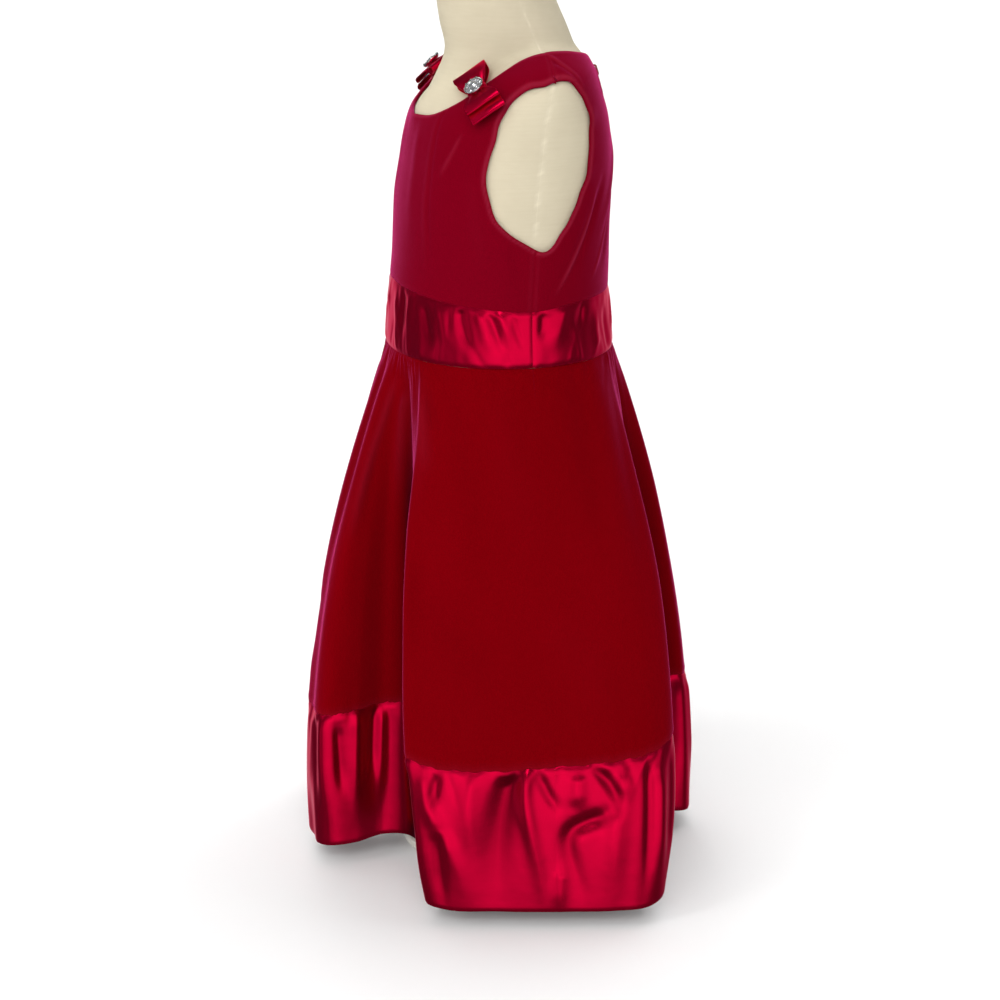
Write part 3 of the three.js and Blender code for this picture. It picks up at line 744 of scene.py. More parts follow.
def closed_outline(points, samples):
    """A smooth closed curve through points: each stretch is a cubic with its neighbours' slope."""
    count = len(points)
    t = np.arange(count * samples) / samples
    k = t.astype(int)
    s = (t - k)[:, None]
    p0, p1, p2, p3 = (points[(k + shift) % count] for shift in (-1, 0, 1, 2))
    leave, arrive = (p2 - p0) / 2, (p3 - p1) / 2
    turn = s * s * (3 - 2 * s)
    return p1 * (1 - turn) + p2 * turn + leave * s * (1 - s) ** 2 + arrive * s * s * (s - 1)


def wavering_outline(points, samples):
    """A closed outline whose edge wavers in and out a little, as a turned edge of cloth does."""
    outline = closed_outline(points, samples)
    outward = outline - outline.mean(axis=0)
    outward /= np.linalg.norm(outward, axis=1, keepdims=True)
    turn = np.linspace(0, 2 * np.pi, len(outline), endpoint=False)
    waver = 0.5 * np.sin(5 * turn + 1) + 0.3 * np.sin(9 * turn) + 0.15 * np.sin(17 * turn + 2)
    return outline + outward * waver[:, None]


ARMHOLE_EDGE = wavering_outline(np.stack([ARMHOLE["y"], ARMHOLE["z"]], axis=1), 40)
MM_PER_DEGREE = 1.56
BODICE_HEIGHT, NECK_FROM_SASH = 165, 160
CLOTH_RADIUS = 93
ARM_SIDE = 60
SNAP = 3.0


def inside(outline, points):
    """Which points lie inside a closed outline: those whose level line crosses it an odd number of times."""
    result = np.zeros(len(points), bool)
    for (y0, z0), (y1, z1) in zip(outline, np.roll(outline, -1, axis=0)):
        spans = (z0 > points[:, 1]) != (z1 > points[:, 1])
        if spans.any():
            crossing = y0 + (points[:, 1] - z0) * (y1 - y0) / (z1 - z0 if z1 != z0 else 1e-9)
            result ^= spans & (points[:, 0] < crossing)
    return result


def on_body_at(side, y, z):
    """The point of the body's side face at y and z, found by halving the angle's range."""
    low, high = np.full(len(y), -1.45), np.full(len(y), 1.45)
    for _ in range(30):
        middle = (low + high) / 2
        below = body(middle, z)[:, 1] < y
        low, high = np.where(below, middle, low), np.where(below, high, middle)
    found = body((low + high) / 2, z)
    found[:, 0] *= side
    return found


def cut_armholes(mesh, points):
    """Deletes the faces inside the armholes; gives the kept vertices and their points, moved to the edge."""
    corners = np.array([[vertex.index for vertex in face.verts] for face in mesh.faces])
    middles = points[corners].mean(axis=1)
    gone = inside(ARMHOLE_EDGE, middles[:, 1:]) & (np.abs(middles[:, 0]) > ARM_SIDE)
    order = mesh.verts.layers.int.new("order")
    for vertex in mesh.verts:
        vertex[order] = vertex.index
    faces = [face for face, cut_away in zip(mesh.faces, gone) if cut_away]
    bmesh.ops.delete(mesh, geom=faces, context="FACES")
    mesh.verts.index_update()
    kept = np.array([vertex[order] for vertex in mesh.verts])
    left = points[kept]
    gaps, nearest = to_armhole(left)
    rim = np.array([vertex.is_boundary for vertex in mesh.verts]) & (gaps < SNAP)
    y, z = ARMHOLE_EDGE[nearest[rim]].T
    left[rim] = on_body_at(np.sign(left[rim, 0]), y, z)
    print("armhole vertices:", rim.sum())
    return kept, left


def to_armhole(points):
    """How far each point is from the armhole's edge, seen from the side, and the nearest place on it."""
    gaps, nearest = np.full(len(points), 99.0), np.zeros(len(points), int)
    arm = np.nonzero(np.abs(points[:, 0]) > ARM_SIDE)[0]
    apart = np.linalg.norm(points[arm, None, 1:] - ARMHOLE_EDGE[None], axis=2)
    gaps[arm], nearest[arm] = apart.min(axis=1), apart.argmin(axis=1)
    return gaps, nearest


# %% [markdown]
# The bodice's creases: drag lines slant from the back of the armhole down to the side seam, thin and
# sharp because velvet's pile parts along them. A soft princess seam runs down each side of the front,
# and a few folds hang from the straps. Each is given by its depth, its widths and its path, as an angle
# in degrees and a share of the height.

# %% Bodice creases
BODICE_CREASES = [
    (0.9, 1.3, 1.6, (30, 0.40), (24, 0.24), (16, 0.12), (9.5, 0.03)),
    (0.8, 1.3, 1.6, (48, 0.36), (40, 0.18), (31, 0.06)),
    (-1.3, 4.5, 5.0, (36, 0.46), (28, 0.30), (20, 0.16), (13, 0.05)),
    (-1.2, 5.0, 5.0, (56, 0.42), (47, 0.22), (38, 0.08)),
    (1.2, 5.0, 6.0, (62, 0.62), (48, 0.40), (34, 0.20)),
    (-1.1, 5.0, 5.0, (74, 0.66), (62, 0.44), (52, 0.22)),
    (1.2, 5.5, 6.0, (84, 0.72), (72, 0.50), (60, 0.28)),
    (0.7, 1.3, 1.6, (1.8, 0.97), (6.2, 0.93), (12.8, 0.85), (20, 0.76)),
    (-0.8, 3.5, 4.0, (3, 0.93), (9, 0.88), (16, 0.78)),
    (0.7, 1.6, 2.2, (-38.5, 0.74), (-44, 0.66), (-49, 0.60)),
    (-0.5, 1.4, 1.4, (-55, 0.98), (-55, 0.66), (-53, 0.34), (-51, 0.02)),
    (0.35, 3.0, 3.0, (-57.5, 0.95), (-57.5, 0.62), (-56, 0.30), (-54, 0.03)),
    (0.7, 5.0, 7.0, (-30, 0.52), (-26, 0.30), (-22, 0.08)),
    (-0.7, 5.0, 6.0, (-12, 0.30), (-8, 0.16), (-4, 0.04)),
    (0.6, 6.0, 8.0, (-74, 0.92), (-72, 0.60), (-70, 0.20)),
    (0.9, 3.5, 4.0, (58, 0.93), (50, 0.86), (44, 0.78)),
    (-0.7, 3.5, 4.0, (70, 0.96), (64, 0.90), (60, 0.84)),
]


def make_bodice(name, low, high, columns):
    mesh, u, v = flat_cloth(columns, rows=120)
    angle = np.radians(low + (high - low) * u)
    kept, points = cut_armholes(mesh, body(angle, bodice_height(angle, v)))
    angles = np.arctan2(points[:, 1] - read(BODY, "z", points[:, 2], "middle"), points[:, 0])
    normal = normals_of(body, angles, points[:, 2], 0.01, 0.5)

    def surface(degrees, share):
        return body(np.radians(degrees), bodice_height(np.radians(degrees), share))

    rise, pressed_and_sheen, hollow = creases(surface, points, other_side(BODICE_CREASES, 180))
    to_arm, nearest = to_armhole(points)
    round_arm = 2 * np.pi * nearest / len(ARMHOLE_EDGE)
    rise += (0.5 + 0.4 * np.sin(9 * round_arm) + 0.25 * np.sin(17 * round_arm + 1)) * bell(to_arm, 6)
    to_side = np.minimum(np.abs(angles), np.pi - np.abs(angles)) * CLOTH_RADIUS
    to_zip = np.where(points[:, 1] > 0, np.abs(points[:, 0]), 99)
    to_sash = points[:, 2] - sash_top(angles)
    to_neck = (1 - v[kept]) * NECK_FROM_SASH
    rise += seam_dip(to_side, 0.25, 1.2) + seam_dip(to_zip) + seam_dip(to_sash, 0.35, 1.6)
    rise += seam_dip(to_neck, 0.8, 1.2) + seam_dip(to_arm, 0.8, 1.2)
    # Painted sheen, partly pressed pile, along the armhole, the neckline and the side seams
    pressed_and_sheen += 0.35 * bell(to_arm - 1.6, 1.2) + 0.35 * bell(to_neck - 1.8, 1.2)
    pressed_and_sheen += 0.06 * bell(to_side - 2.2, 1.2)
    flat = np.stack([u * (high - low) * MM_PER_DEGREE, v * BODICE_HEIGHT], axis=1)[kept] * MM
    wear(mesh, points + normal * rise[:, None], flat, pressed_and_sheen, np.clip(hollow * VELVET_SHADE, 0, 1))
    area = flat_area(mesh)
    piece = finished(f"velvet_{name}", mesh, VELVET, name)
    thicken(piece, VELVET_WALL)
    return piece, area


# %% Bodice pieces
BODICE_PIECES = [
    ("bodice_front", -180, 0, 190),
    ("bodice_back_left", 0, 90, 110),
    ("bodice_back_right", 90, 180, 110),
]
for name, low, high, columns in BODICE_PIECES:
    piece, area = make_bodice(name, low, high, columns)
    print(name, "cut area", round(area * 1e4), "cm2")

# %% [markdown]
# ## Sash
# The sash is one flat band of satin between two seams. It is held taut but not glued down: shallow
# waves run along it, and it dips into both seams.

# %% Sash
SASH_CREASES = [
    (1.0, 3.5, 4.0, (-82, 0.78), (-79, 0.55), (-76, 0.32)),
    (1.0, 3.5, 4.0, (-65, 0.95), (-66, 0.66), (-67, 0.38)),
    (-1.3, 4.0, 5.0, (-73, 0.95), (-72, 0.50), (-73, 0.10)),
    (-1.5, 4.5, 5.0, (-54, 0.85), (-51, 0.50), (-47, 0.16)),
    (1.1, 4.5, 5.0, (-44, 0.90), (-41, 0.55), (-38, 0.20)),
    (-1.5, 4.0, 4.5, (-33, 0.95), (-31, 0.60), (-27, 0.20)),
    (1.2, 4.0, 5.0, (-24, 0.92), (-21, 0.60), (-19, 0.15)),
    (-1.0, 2.5, 2.5, (-20, 0.95), (-16, 0.60), (-13, 0.20)),
    (1.3, 3.0, 3.5, (-16, 0.97), (-12.5, 0.74), (-9, 0.23)),
    (-0.9, 2.5, 2.5, (-9, 0.96), (-6.5, 0.60), (-3, 0.18)),
    (-1.3, 3.0, 3.5, (5, 0.98), (4.8, 0.70), (3.5, 0.40)),
    (1.3, 5.0, 6.0, (17, 0.98), (12.8, 0.62), (7.8, 0.20)),
    (-1.5, 4.5, 5.0, (28, 0.98), (25, 0.75), (23, 0.50)),
    (1.2, 4.0, 5.0, (38, 0.20), (36, 0.50), (39, 0.90)),
    (-1.2, 4.0, 5.0, (50, 0.10), (47, 0.50), (48, 0.90)),
    (1.2, 4.5, 5.0, (62, 0.90), (60, 0.50), (56, 0.12)),
    (-1.1, 4.0, 5.0, (74, 0.12), (71, 0.50), (70, 0.88)),
    (1.0, 4.0, 5.0, (84, 0.85), (82, 0.50), (79, 0.15)),
]
SASH_WIDTH = 43
SIDE_MM_PER_DEGREE, BACK_MM_PER_DEGREE = 1.6, 1.5


def sash_surface(degrees, share):
    angle = np.radians(degrees)
    return body(angle, WAIST + (sash_top(angle) - WAIST) * share)


def make_sash(name, low, high, columns):
    mesh, u, v = flat_cloth(columns, rows=26)
    degrees = low + (high - low) * u
    length = (high - low) * MM_PER_DEGREE
    points = sash_surface(degrees, v)
    normal = normals_of(sash_surface, degrees, v, 0.5, 0.01)
    rise, pressed_and_sheen, hollow = creases(sash_surface, points, other_side(SASH_CREASES, 180))
    above, below = (1 - v) * SASH_WIDTH, v * SASH_WIDTH
    edge = np.minimum(above, below)
    rise += puckers(u * length, above, length, 0.55) + puckers(u * length, below, length, 0.7)
    rise = rise * smooth((edge + 1.5) / 7) + 0.4 + seam_dip(edge, 0.7, 1.6)
    to_side = SIDE_MM_PER_DEGREE * np.abs((degrees + 90) % 180 - 90)
    to_zip = BACK_MM_PER_DEGREE * np.abs(degrees - 90)
    rise += seam_dip(to_side, 0.7, 1.4) + seam_dip(to_zip, 0.8, 1.4)
    flat = np.stack([u * length, v * SASH_WIDTH], axis=1) * MM
    wear(mesh, points + normal * rise[:, None], flat, pressed_and_sheen, np.clip(hollow * SATIN_SHADE, 0, 1))
    area = flat_area(mesh)
    piece = finished(f"satin_{name}", mesh, SATIN, name)
    thicken(piece, SATIN_WALL)
    print(name, "cut area", round(area * 1e4), "cm2")


SASH_PIECES = [
    ("sash_front", -180, 0, 300),
    ("sash_back_left", 0, 90, 150),
    ("sash_back_right", 90, 180, 150),
]
for name, low, high, columns in SASH_PIECES:
    make_sash(name, low, high, columns)

# %% [markdown]
# ## Skirt
# The skirt hangs in one box fold at the front and the back, two broad sides, and four deep inverted
# pleats between them. Each fold is a row of a table: the angle where it leaves the waist, where it ends
# at the hem, and how high the satin band is there. In between it falls along a curve that is slanted at
# the waist and plumb at the hem, as heavy velvet does.

# %% Folds
FOLDS = table(
    "angle x y seam lift belly",
    (-90, 0, -149, 119, 0, -3.5),
    (-86, 16, -150, 119, 1, -3.5),
    (-82, 29, -142, 119, 3, -3.5),
    (-78, 30, -122, 121, 4, -2),
    (-74, 24, -99, 122, 6, 0),
    (-70, 33, -82, 122, 7, 0),
    (-66, 66, -75, 122, 5, -2),
    (-62, 108, -79, 123, 2, -8),
    (-58.5, 138, -92, 124.5, 1, -14),
    (-55, 151, -94, 126.5, 2, -16),
    (-49, 161, -80, 122, 0, -11),
    (-30, 172, -48, 120, 0, -4),
    (0, 183, -5, 123, 0, 0),
    (28, 192, 36, 126, 0, 3),
    (47, 194, 62, 130, 1, 7),
    (53, 182, 78, 135, 4, 10),
    (58, 148, 77, 131, 3, 6),
    (63.5, 82, 77, 127, 4, 0),
    (68.5, 38, 86, 127, 5, 0),
    (73, 24, 102, 127, 4, 0),
    (77.5, 27, 123, 127, 3, 0),
    (82, 28, 144, 127, 2, 0),
    (86, 15, 152, 127, 0, 0),
    (90, 0, 153, 127, 0, 0),
)
SIDE_SEAM, BACK_MIDDLE = 12, 23
FLARE_POWER = 2.1
BELLY = table(
    "fall share",
    (0, 0),
    (0.08, 0.08),
    (0.21, 0.45),
    (0.3, 0.7),
    (0.42, 0.95),
    (0.55, 1),
    (0.69, 0.95),
    (0.88, 0.55),
    (1, 0),
)


def all_round(left, mirror):
    return np.concatenate([left, mirror(left[-2:0:-1])])


# How deep in its pleat the cloth lies at a fold, as painted shade: from 0 on the outside to 1 where the
# colour is painted darkest
PAINTED_PLEAT_SHADE = table(
    "fold depth",
    (0, 0),
    (4.2, 0),
    (4.8, 0.5),
    (5.3, 0.95),
    (6, 0.85),
    (7, 0.5),
    (7.8, 0.2),
    (8.6, 0),
    (14.8, 0),
    (15.6, 0.15),
    (16.4, 0.45),
    (17, 0.8),
    (18.5, 0.8),
    (19.3, 0.6),
    (20.4, 0.2),
    (21, 0),
    (23, 0),
)


def same(values):
    return values


FOLD_ANGLES = all_round(np.radians(FOLDS["angle"]), lambda angle: np.pi - angle)
FOLD_X = all_round(FOLDS["x"], lambda x: -x)
FOLD_Y, FOLD_LIFTS, FOLD_SEAMS, FOLD_BELLIES = (
    all_round(FOLDS[column], same) for column in ("y", "lift", "seam", "belly")
)
FOLD_FEET = np.stack([FOLD_X, FOLD_Y, HEM + FOLD_LIFTS], axis=1)
FOLD_TOPS = body(FOLD_ANGLES, np.full(len(FOLD_ANGLES), WAIST))
FOLD_COUNT = len(FOLD_ANGLES)


def round_curve(control, place):
    """Points on a closed curve through controls, which are given for the four folds near a place."""
    whole = np.floor(place).astype(int)
    s = (place - whole)[:, None]
    p0, p1, p2, p3 = (control((whole + shift) % FOLD_COUNT) for shift in (-1, 0, 1, 2))
    pairs = ((p0, p1), (p1, p2), (p2, p3))
    d0, d1, d2 = (np.sqrt(np.linalg.norm(b - a, axis=1, keepdims=True)) + 1e-9 for a, b in pairs)
    leave = ((p1 - p0) / d0 - (p2 - p0) / (d0 + d1) + (p2 - p1) / d1) * d1
    arrive = ((p2 - p1) / d1 - (p3 - p1) / (d1 + d2) + (p3 - p2) / d2) * d1
    turn = s * s * (3 - 2 * s)
    return p1 * (1 - turn) + p2 * turn + leave * s * (1 - s) ** 2 + arrive * s * s * (s - 1)


def skirt(place, rise):
    """Points on the skirt: place counts folds from the front's middle, rise goes from hem to waist."""
    fall = 1 - np.asarray(rise)
    flare = (1 - np.clip(1 - fall, 0, None) ** FLARE_POWER)[:, None]
    belly = read(BELLY, "fall", fall, "share")

    def control(fold):
        top, foot = FOLD_TOPS[fold], FOLD_FEET[fold]
        point = top + (foot - top) * flare
        point[:, 1] += FOLD_BELLIES[fold] * belly
        point[:, 2] = WAIST + (foot[:, 2] - WAIST) * fall
        return point

    return round_curve(control, place)


def band_rise(place):
    """How far up the skirt the satin band's seam is, at each place."""
    feet = np.stack([FOLD_X, FOLD_Y, FOLD_SEAMS], axis=1)
    heights = round_curve(lambda fold: feet[fold], place)
    ripple = 0.5 * np.sin(place * 11) + 0.35 * np.sin(place * 26 + 1)
    return 1 - (WAIST - heights[:, 2] - ripple) / (WAIST - HEM)


def even_places(first, last, count):
    """Places at even distances along the cloth, well down the skirt."""
    fine = np.linspace(first, last, 1200)
    lengths = length_along(skirt(fine, np.full(len(fine), 0.3)))
    return np.interp(np.linspace(0, lengths[-1], count), lengths, fine), lengths[-1]


# %% [markdown]
# The skirt's creases, as places round and shares up the skirt. The velvet is heavy and hangs in a few
# soft folds, with a slanting crease by the waist on each side. The satin band is stiffer and was pulled
# to fit the velvet: deep uneven troughs run from its seam to the hem, with bright rounded ridges
# between them.

# %% Skirt creases
VELVET_CREASES = [
    (-1.5, 3.0, 3.5, (9.62, 0.955), (10.02, 0.91), (10.26, 0.873)),
    (1.3, 4.0, 5.0, (9.3, 0.93), (9.6, 0.86), (9.9, 0.80)),
    (1.6, 6.0, 8.0, (9.1, 0.97), (9.3, 0.86), (9.4, 0.70)),
    (-1.2, 10.0, 14.0, (10.5, 0.96), (10.9, 0.78), (11.1, 0.58)),
    (1.1, 12.0, 16.0, (11.4, 0.97), (11.6, 0.80), (11.8, 0.62)),
    (-1.2, 10.0, 14.0, (12.7, 0.97), (12.9, 0.80), (13.0, 0.62)),
    (1.4, 12.0, 16.0, (13.5, 0.96), (13.5, 0.72), (13.6, 0.48)),
    (-1.2, 9.0, 12.0, (14.2, 0.97), (14.2, 0.80), (14.3, 0.60)),
    (-1.4, 16.0, 18.0, (10.0, 0.60), (10.8, 0.48), (11.6, 0.38)),
    (1.3, 14.0, 18.0, (12.0, 0.56), (12.7, 0.45), (13.4, 0.35)),
    (-1.6, 8.0, 9.0, (9.5, 0.66), (9.4, 0.54), (9.3, 0.42)),
    (-2.2, 6.0, 8.0, (8.0, 0.98), (8.2, 0.85), (8.3, 0.70)),
    (1.5, 7.0, 9.0, (6.8, 0.96), (6.8, 0.75), (6.8, 0.50)),
    (-1.8, 6.0, 8.0, (5.7, 0.97), (5.7, 0.80), (5.6, 0.56)),
    (1.5, 4.0, 5.0, (5.4, 0.92), (4.7, 0.84), (4.5, 0.66)),
    (1.2, 3.0, 4.0, (3.7, 0.94), (2.6, 0.83), (2.2, 0.70), (1.98, 0.62)),
    (-1.5, 7.0, 8.0, (2.9, 0.90), (2.8, 0.76), (2.9, 0.60)),
    (1.3, 8.0, 9.0, (1.2, 0.96), (1.2, 0.74), (1.3, 0.48)),
    (-1.5, 7.0, 9.0, (0.1, 0.98), (0.1, 0.78), (0.2, 0.55)),
    (-1.3, 8.0, 9.0, (1.9, 0.50), (2.0, 0.42), (1.9, 0.34)),
    (-2.0, 7.0, 8.0, (15.3, 0.97), (15.4, 0.80), (15.4, 0.60)),
    (1.7, 8.0, 9.0, (16.4, 0.95), (16.5, 0.74), (16.5, 0.50)),
    (-1.7, 7.0, 8.0, (17.5, 0.97), (17.5, 0.80), (17.5, 0.60)),
    (1.4, 7.0, 8.0, (19.5, 0.97), (19.5, 0.80), (19.6, 0.58)),
    (1.3, 8.0, 9.0, (21.3, 0.96), (21.3, 0.75), (21.4, 0.50)),
    (-1.4, 7.0, 8.0, (22.6, 0.97), (22.6, 0.80), (22.7, 0.60)),
]
SATIN_CREASES = [
    (2.2, 5.0, 6.0, (9.66, 0.27), (9.82, 0.19), (10.18, 0.12), (10.34, 0.0)),
    (-2.4, 4.0, 4.0, (10.12, 0.285), (9.96, 0.24), (9.76, 0.19)),
    (-2.2, 5.0, 6.0, (10.0, 0.16), (9.85, 0.08), (9.8, -0.02)),
    (1.8, 6.0, 7.0, (10.75, 0.285), (10.6, 0.20), (10.62, 0.10)),
    (-5.5, 6.0, 15.0, (11.5, 0.295), (11.26, 0.24), (11.08, 0.12), (10.98, -0.08)),
    (3.4, 4.5, 6.0, (11.62, 0.29), (11.54, 0.23), (11.66, 0.13), (11.9, -0.04)),
    (-2.2, 3.5, 4.0, (11.74, 0.29), (11.88, 0.235), (12.12, 0.19)),
    (2.2, 6.0, 7.0, (12.36, 0.27), (12.36, 0.235), (12.32, 0.20)),
    (-3.0, 4.0, 5.5, (12.62, 0.29), (12.86, 0.255), (13.04, 0.21), (12.7, 0.185)),
    (-3.2, 6.0, 6.0, (12.8, 0.195), (12.42, 0.175), (12.2, 0.145), (12.3, 0.08), (12.5, -0.02)),
    (2.4, 7.0, 9.0, (13.24, 0.27), (13.02, 0.15), (13.02, -0.02)),
    (-2.6, 4.0, 5.0, (13.84, 0.28), (13.86, 0.15), (13.88, -0.04)),
    (1.6, 5.0, 6.0, (12.1, 0.08), (12.06, 0.04), (12.04, -0.02)),
    (2.4, 6.0, 7.0, (14.2, 0.26), (14.3, 0.14), (14.3, 0.0)),
    (-2.2, 6.0, 7.0, (14.75, 0.29), (14.8, 0.16), (14.75, 0.02)),
    (2.2, 6.0, 7.0, (15.3, 0.30), (15.2, 0.16), (15.1, 0.02)),
    (-2.4, 7.0, 8.0, (16.2, 0.29), (16.3, 0.16), (16.5, 0.03)),
    (2.4, 7.0, 8.0, (17.0, 0.28), (17.1, 0.16), (17.2, 0.02)),
    (-2.2, 6.0, 6.0, (18.2, 0.28), (18.1, 0.16), (18.0, 0.03)),
    (2.4, 5.0, 6.0, (19.4, 0.28), (19.5, 0.16), (19.7, 0.02)),
    (-2.0, 5.0, 6.0, (20.8, 0.28), (20.7, 0.16), (20.6, 0.03)),
    (2.2, 5.0, 6.0, (21.9, 0.28), (22.0, 0.16), (22.2, 0.02)),
    (-1.6, 4.0, 5.0, (22.6, 0.28), (22.7, 0.20), (22.6, 0.10)),
    (-2.2, 6.0, 7.0, (8.6, 0.28), (8.6, 0.16), (8.5, 0.03)),
    (2.2, 7.0, 8.0, (7.4, 0.28), (7.5, 0.16), (7.7, 0.02)),
    (-2.4, 6.0, 7.0, (6.3, 0.28), (6.3, 0.16), (6.2, 0.03)),
    (1.8, 5.0, 6.0, (5.2, 0.27), (5.2, 0.16), (5.3, 0.02)),
    (2.0, 4.0, 5.0, (3.9, 0.28), (3.9, 0.16), (3.8, 0.03)),
    (-2.0, 4.0, 4.5, (3.66, 0.28), (3.62, 0.19), (3.6, 0.11)),
    (2.2, 4.5, 5.0, (3.08, 0.295), (3.06, 0.17), (3.02, 0.02)),
    (-2.0, 4.0, 4.5, (2.4, 0.25), (2.5, 0.17), (2.6, 0.09)),
    (2.2, 5.0, 6.0, (1.62, 0.29), (1.64, 0.17), (2.08, 0.02)),
    (-1.8, 4.5, 5.0, (0.9, 0.28), (1.0, 0.18), (1.2, 0.06)),
    (1.7, 5.0, 6.0, (0.3, 0.27), (0.2, 0.16), (0.2, 0.03)),
]


SWEEP_ALLOWANCE, HEIGHT_ALLOWANCE = 1.02, 1.12


def make_skirt_piece(name, first, last, columns, rows, satin):
    places, sweep = even_places(first, last, columns + 1)
    seams = band_rise(places)
    height = (WAIST - HEM) * (seams.mean() if satin else 1 - seams.mean())
    mesh, u, v = flat_cloth(columns, rows)
    place = np.interp(u * columns, np.arange(columns + 1), places)
    seam = band_rise(place)
    rise = seam * v if satin else seam + (1 - seam) * (1 - (1 - v) ** 1.25)
    points = skirt(place, rise)
    normal = normals_of(skirt, place, np.clip(rise, 0.003, 0.997), 0.04, 0.003)
    table_rows = other_side(SATIN_CREASES if satin else VELVET_CREASES, FOLD_COUNT)
    out, pressed_and_sheen, hollow = creases(skirt, points, table_rows)
    to_seam = np.abs(rise - seam) * (WAIST - HEM)
    to_hem, to_waist = rise * (WAIST - HEM), (1 - rise) * (WAIST - HEM)
    to_side = np.minimum(u, 1 - u) * sweep
    gathers = puckers(u * sweep, to_seam, sweep, 0.8 if satin else 0.35)
    if satin:
        out = out * smooth((to_seam + 3) / 16) + gathers * smooth((to_seam + 1) / 5)
        out += seam_dip(to_seam, 0.8, 1.8) + seam_dip(to_hem, 0.6, 1.2)
    else:
        out = out * smooth((to_waist + 2) / 12) + gathers
        out += puckers(u * sweep, to_waist, sweep, 0.6) * smooth((to_waist + 1) / 5)
        out += seam_dip(to_waist, 0.4, 1.8) + 0.3 * bell(to_seam - 2.5, 2.0) + seam_dip(to_seam, 0.3, 1.0)
        # Painted sheen, partly pressed pile, along the velvet's edge above the band seam
        pressed_and_sheen += 0.18 * bell(to_seam - 1.5, 1.5)
    out += seam_dip(to_side, 0.08, 1.2)
    flat = np.stack([u * sweep, v * height], axis=1) * MM
    # Painted shade: darker inside the pleats, fading out towards the waist, and in the troughs of creases
    from_front = BACK_MIDDLE - np.abs(np.abs(place) - BACK_MIDDLE)
    painted_shade = np.interp(from_front, PAINTED_PLEAT_SHADE["fold"], PAINTED_PLEAT_SHADE["depth"]) * smooth((1 - rise) / 0.35)
    painted_shade = np.clip(painted_shade + hollow * (SATIN_SHADE if satin else VELVET_SHADE), 0, 1)
    wear(mesh, points + normal * out[:, None], flat, pressed_and_sheen, painted_shade)
    area = flat_area(mesh)
    kind, material, wall = ("satin", SATIN, SATIN_WALL) if satin else ("velvet", VELVET, VELVET_WALL)
    piece = finished(f"{kind}_{name}", mesh, material, name)
    thicken(piece, wall)
    hem_sweep = length_along(skirt(np.linspace(first, last, 600), np.zeros(600)))[-1]
    cut_height = height * HEIGHT_ALLOWANCE
    cut_size = (hem_sweep * SWEEP_ALLOWANCE * MM, cut_height * MM)
    min(area, hem_sweep * cut_height * MM * MM)
    print(name, "sweep", round(hem_sweep), "mm, cut area", round(area * 1e4), "cm2")


SKIRT_COLUMNS, SKIRT_ROWS = 340, 96
BAND_COLUMNS, BAND_ROWS = 460, 56
SKIRT_PIECES = [
    ("front", -SIDE_SEAM, SIDE_SEAM, 1.0),
    ("back_left", SIDE_SEAM, BACK_MIDDLE, 0.5),
    ("back_right", BACK_MIDDLE, 2 * BACK_MIDDLE - SIDE_SEAM, 0.5),
]
for name, first, last, share in SKIRT_PIECES:
    make_skirt_piece(f"skirt_{name}", first, last, int(SKIRT_COLUMNS * share), SKIRT_ROWS, satin=False)
    make_skirt_piece(f"hem_band_{name}", first, last, int(BAND_COLUMNS * share), BAND_ROWS, satin=True)

# %% [markdown]
# ## Bows
# Each bow is a flat ribbon folded back on itself: one loop towards the neck, two stacked towards the
# armhole, and a wrap of ribbon round the middle. Each has a frame of its own on the strap: l from the
# neck to the armhole, w along the strap and n away from the cloth.

# %% Bow frame
BOW_ANGLE, BOW_HEIGHT, BOW_TILT = -35, 594.0, 14
RIBBON_WIDTH = 27
KNOT_LENGTH, KNOT_WIDTH, KNOT_LOW, KNOT_HIGH = 11, 15, 0.4, 8.6
KNOT_SQUARENESS = 0.6
JEWEL_RADIUS = 7.6
LOOPS = [
    ("bow_loop_neck", -1, 29, 0.5, 6.2),
    ("bow_loop_arm", 1, 29, 0.5, 4.8),
    ("bow_loop_arm_over", 1, 21, 5.2, 8.8),
]


def bow_frame(side):
    angle = math.radians(BOW_ANGLE) if side > 0 else math.pi - math.radians(BOW_ANGLE)
    at, height = np.array([angle]), np.array([BOW_HEIGHT])
    place = Vector(body(at, height)[0])
    away = Vector(normals_of(body, at, height, 0.01, 0.5)[0])
    outward = Vector((side, 0, 0))
    across = (outward - away * outward.dot(away)).normalized()
    along = away.cross(across) * side
    tilt = Matrix.Rotation(math.radians(-BOW_TILT * side), 3, away)
    return place, tilt @ across, tilt @ along, away


def in_frame(bow, l, w, n):
    place, across, along, away = (np.array(part) for part in bow)
    return place + np.multiply.outer(l, across) + np.multiply.outer(w, along) + np.multiply.outer(n, away)


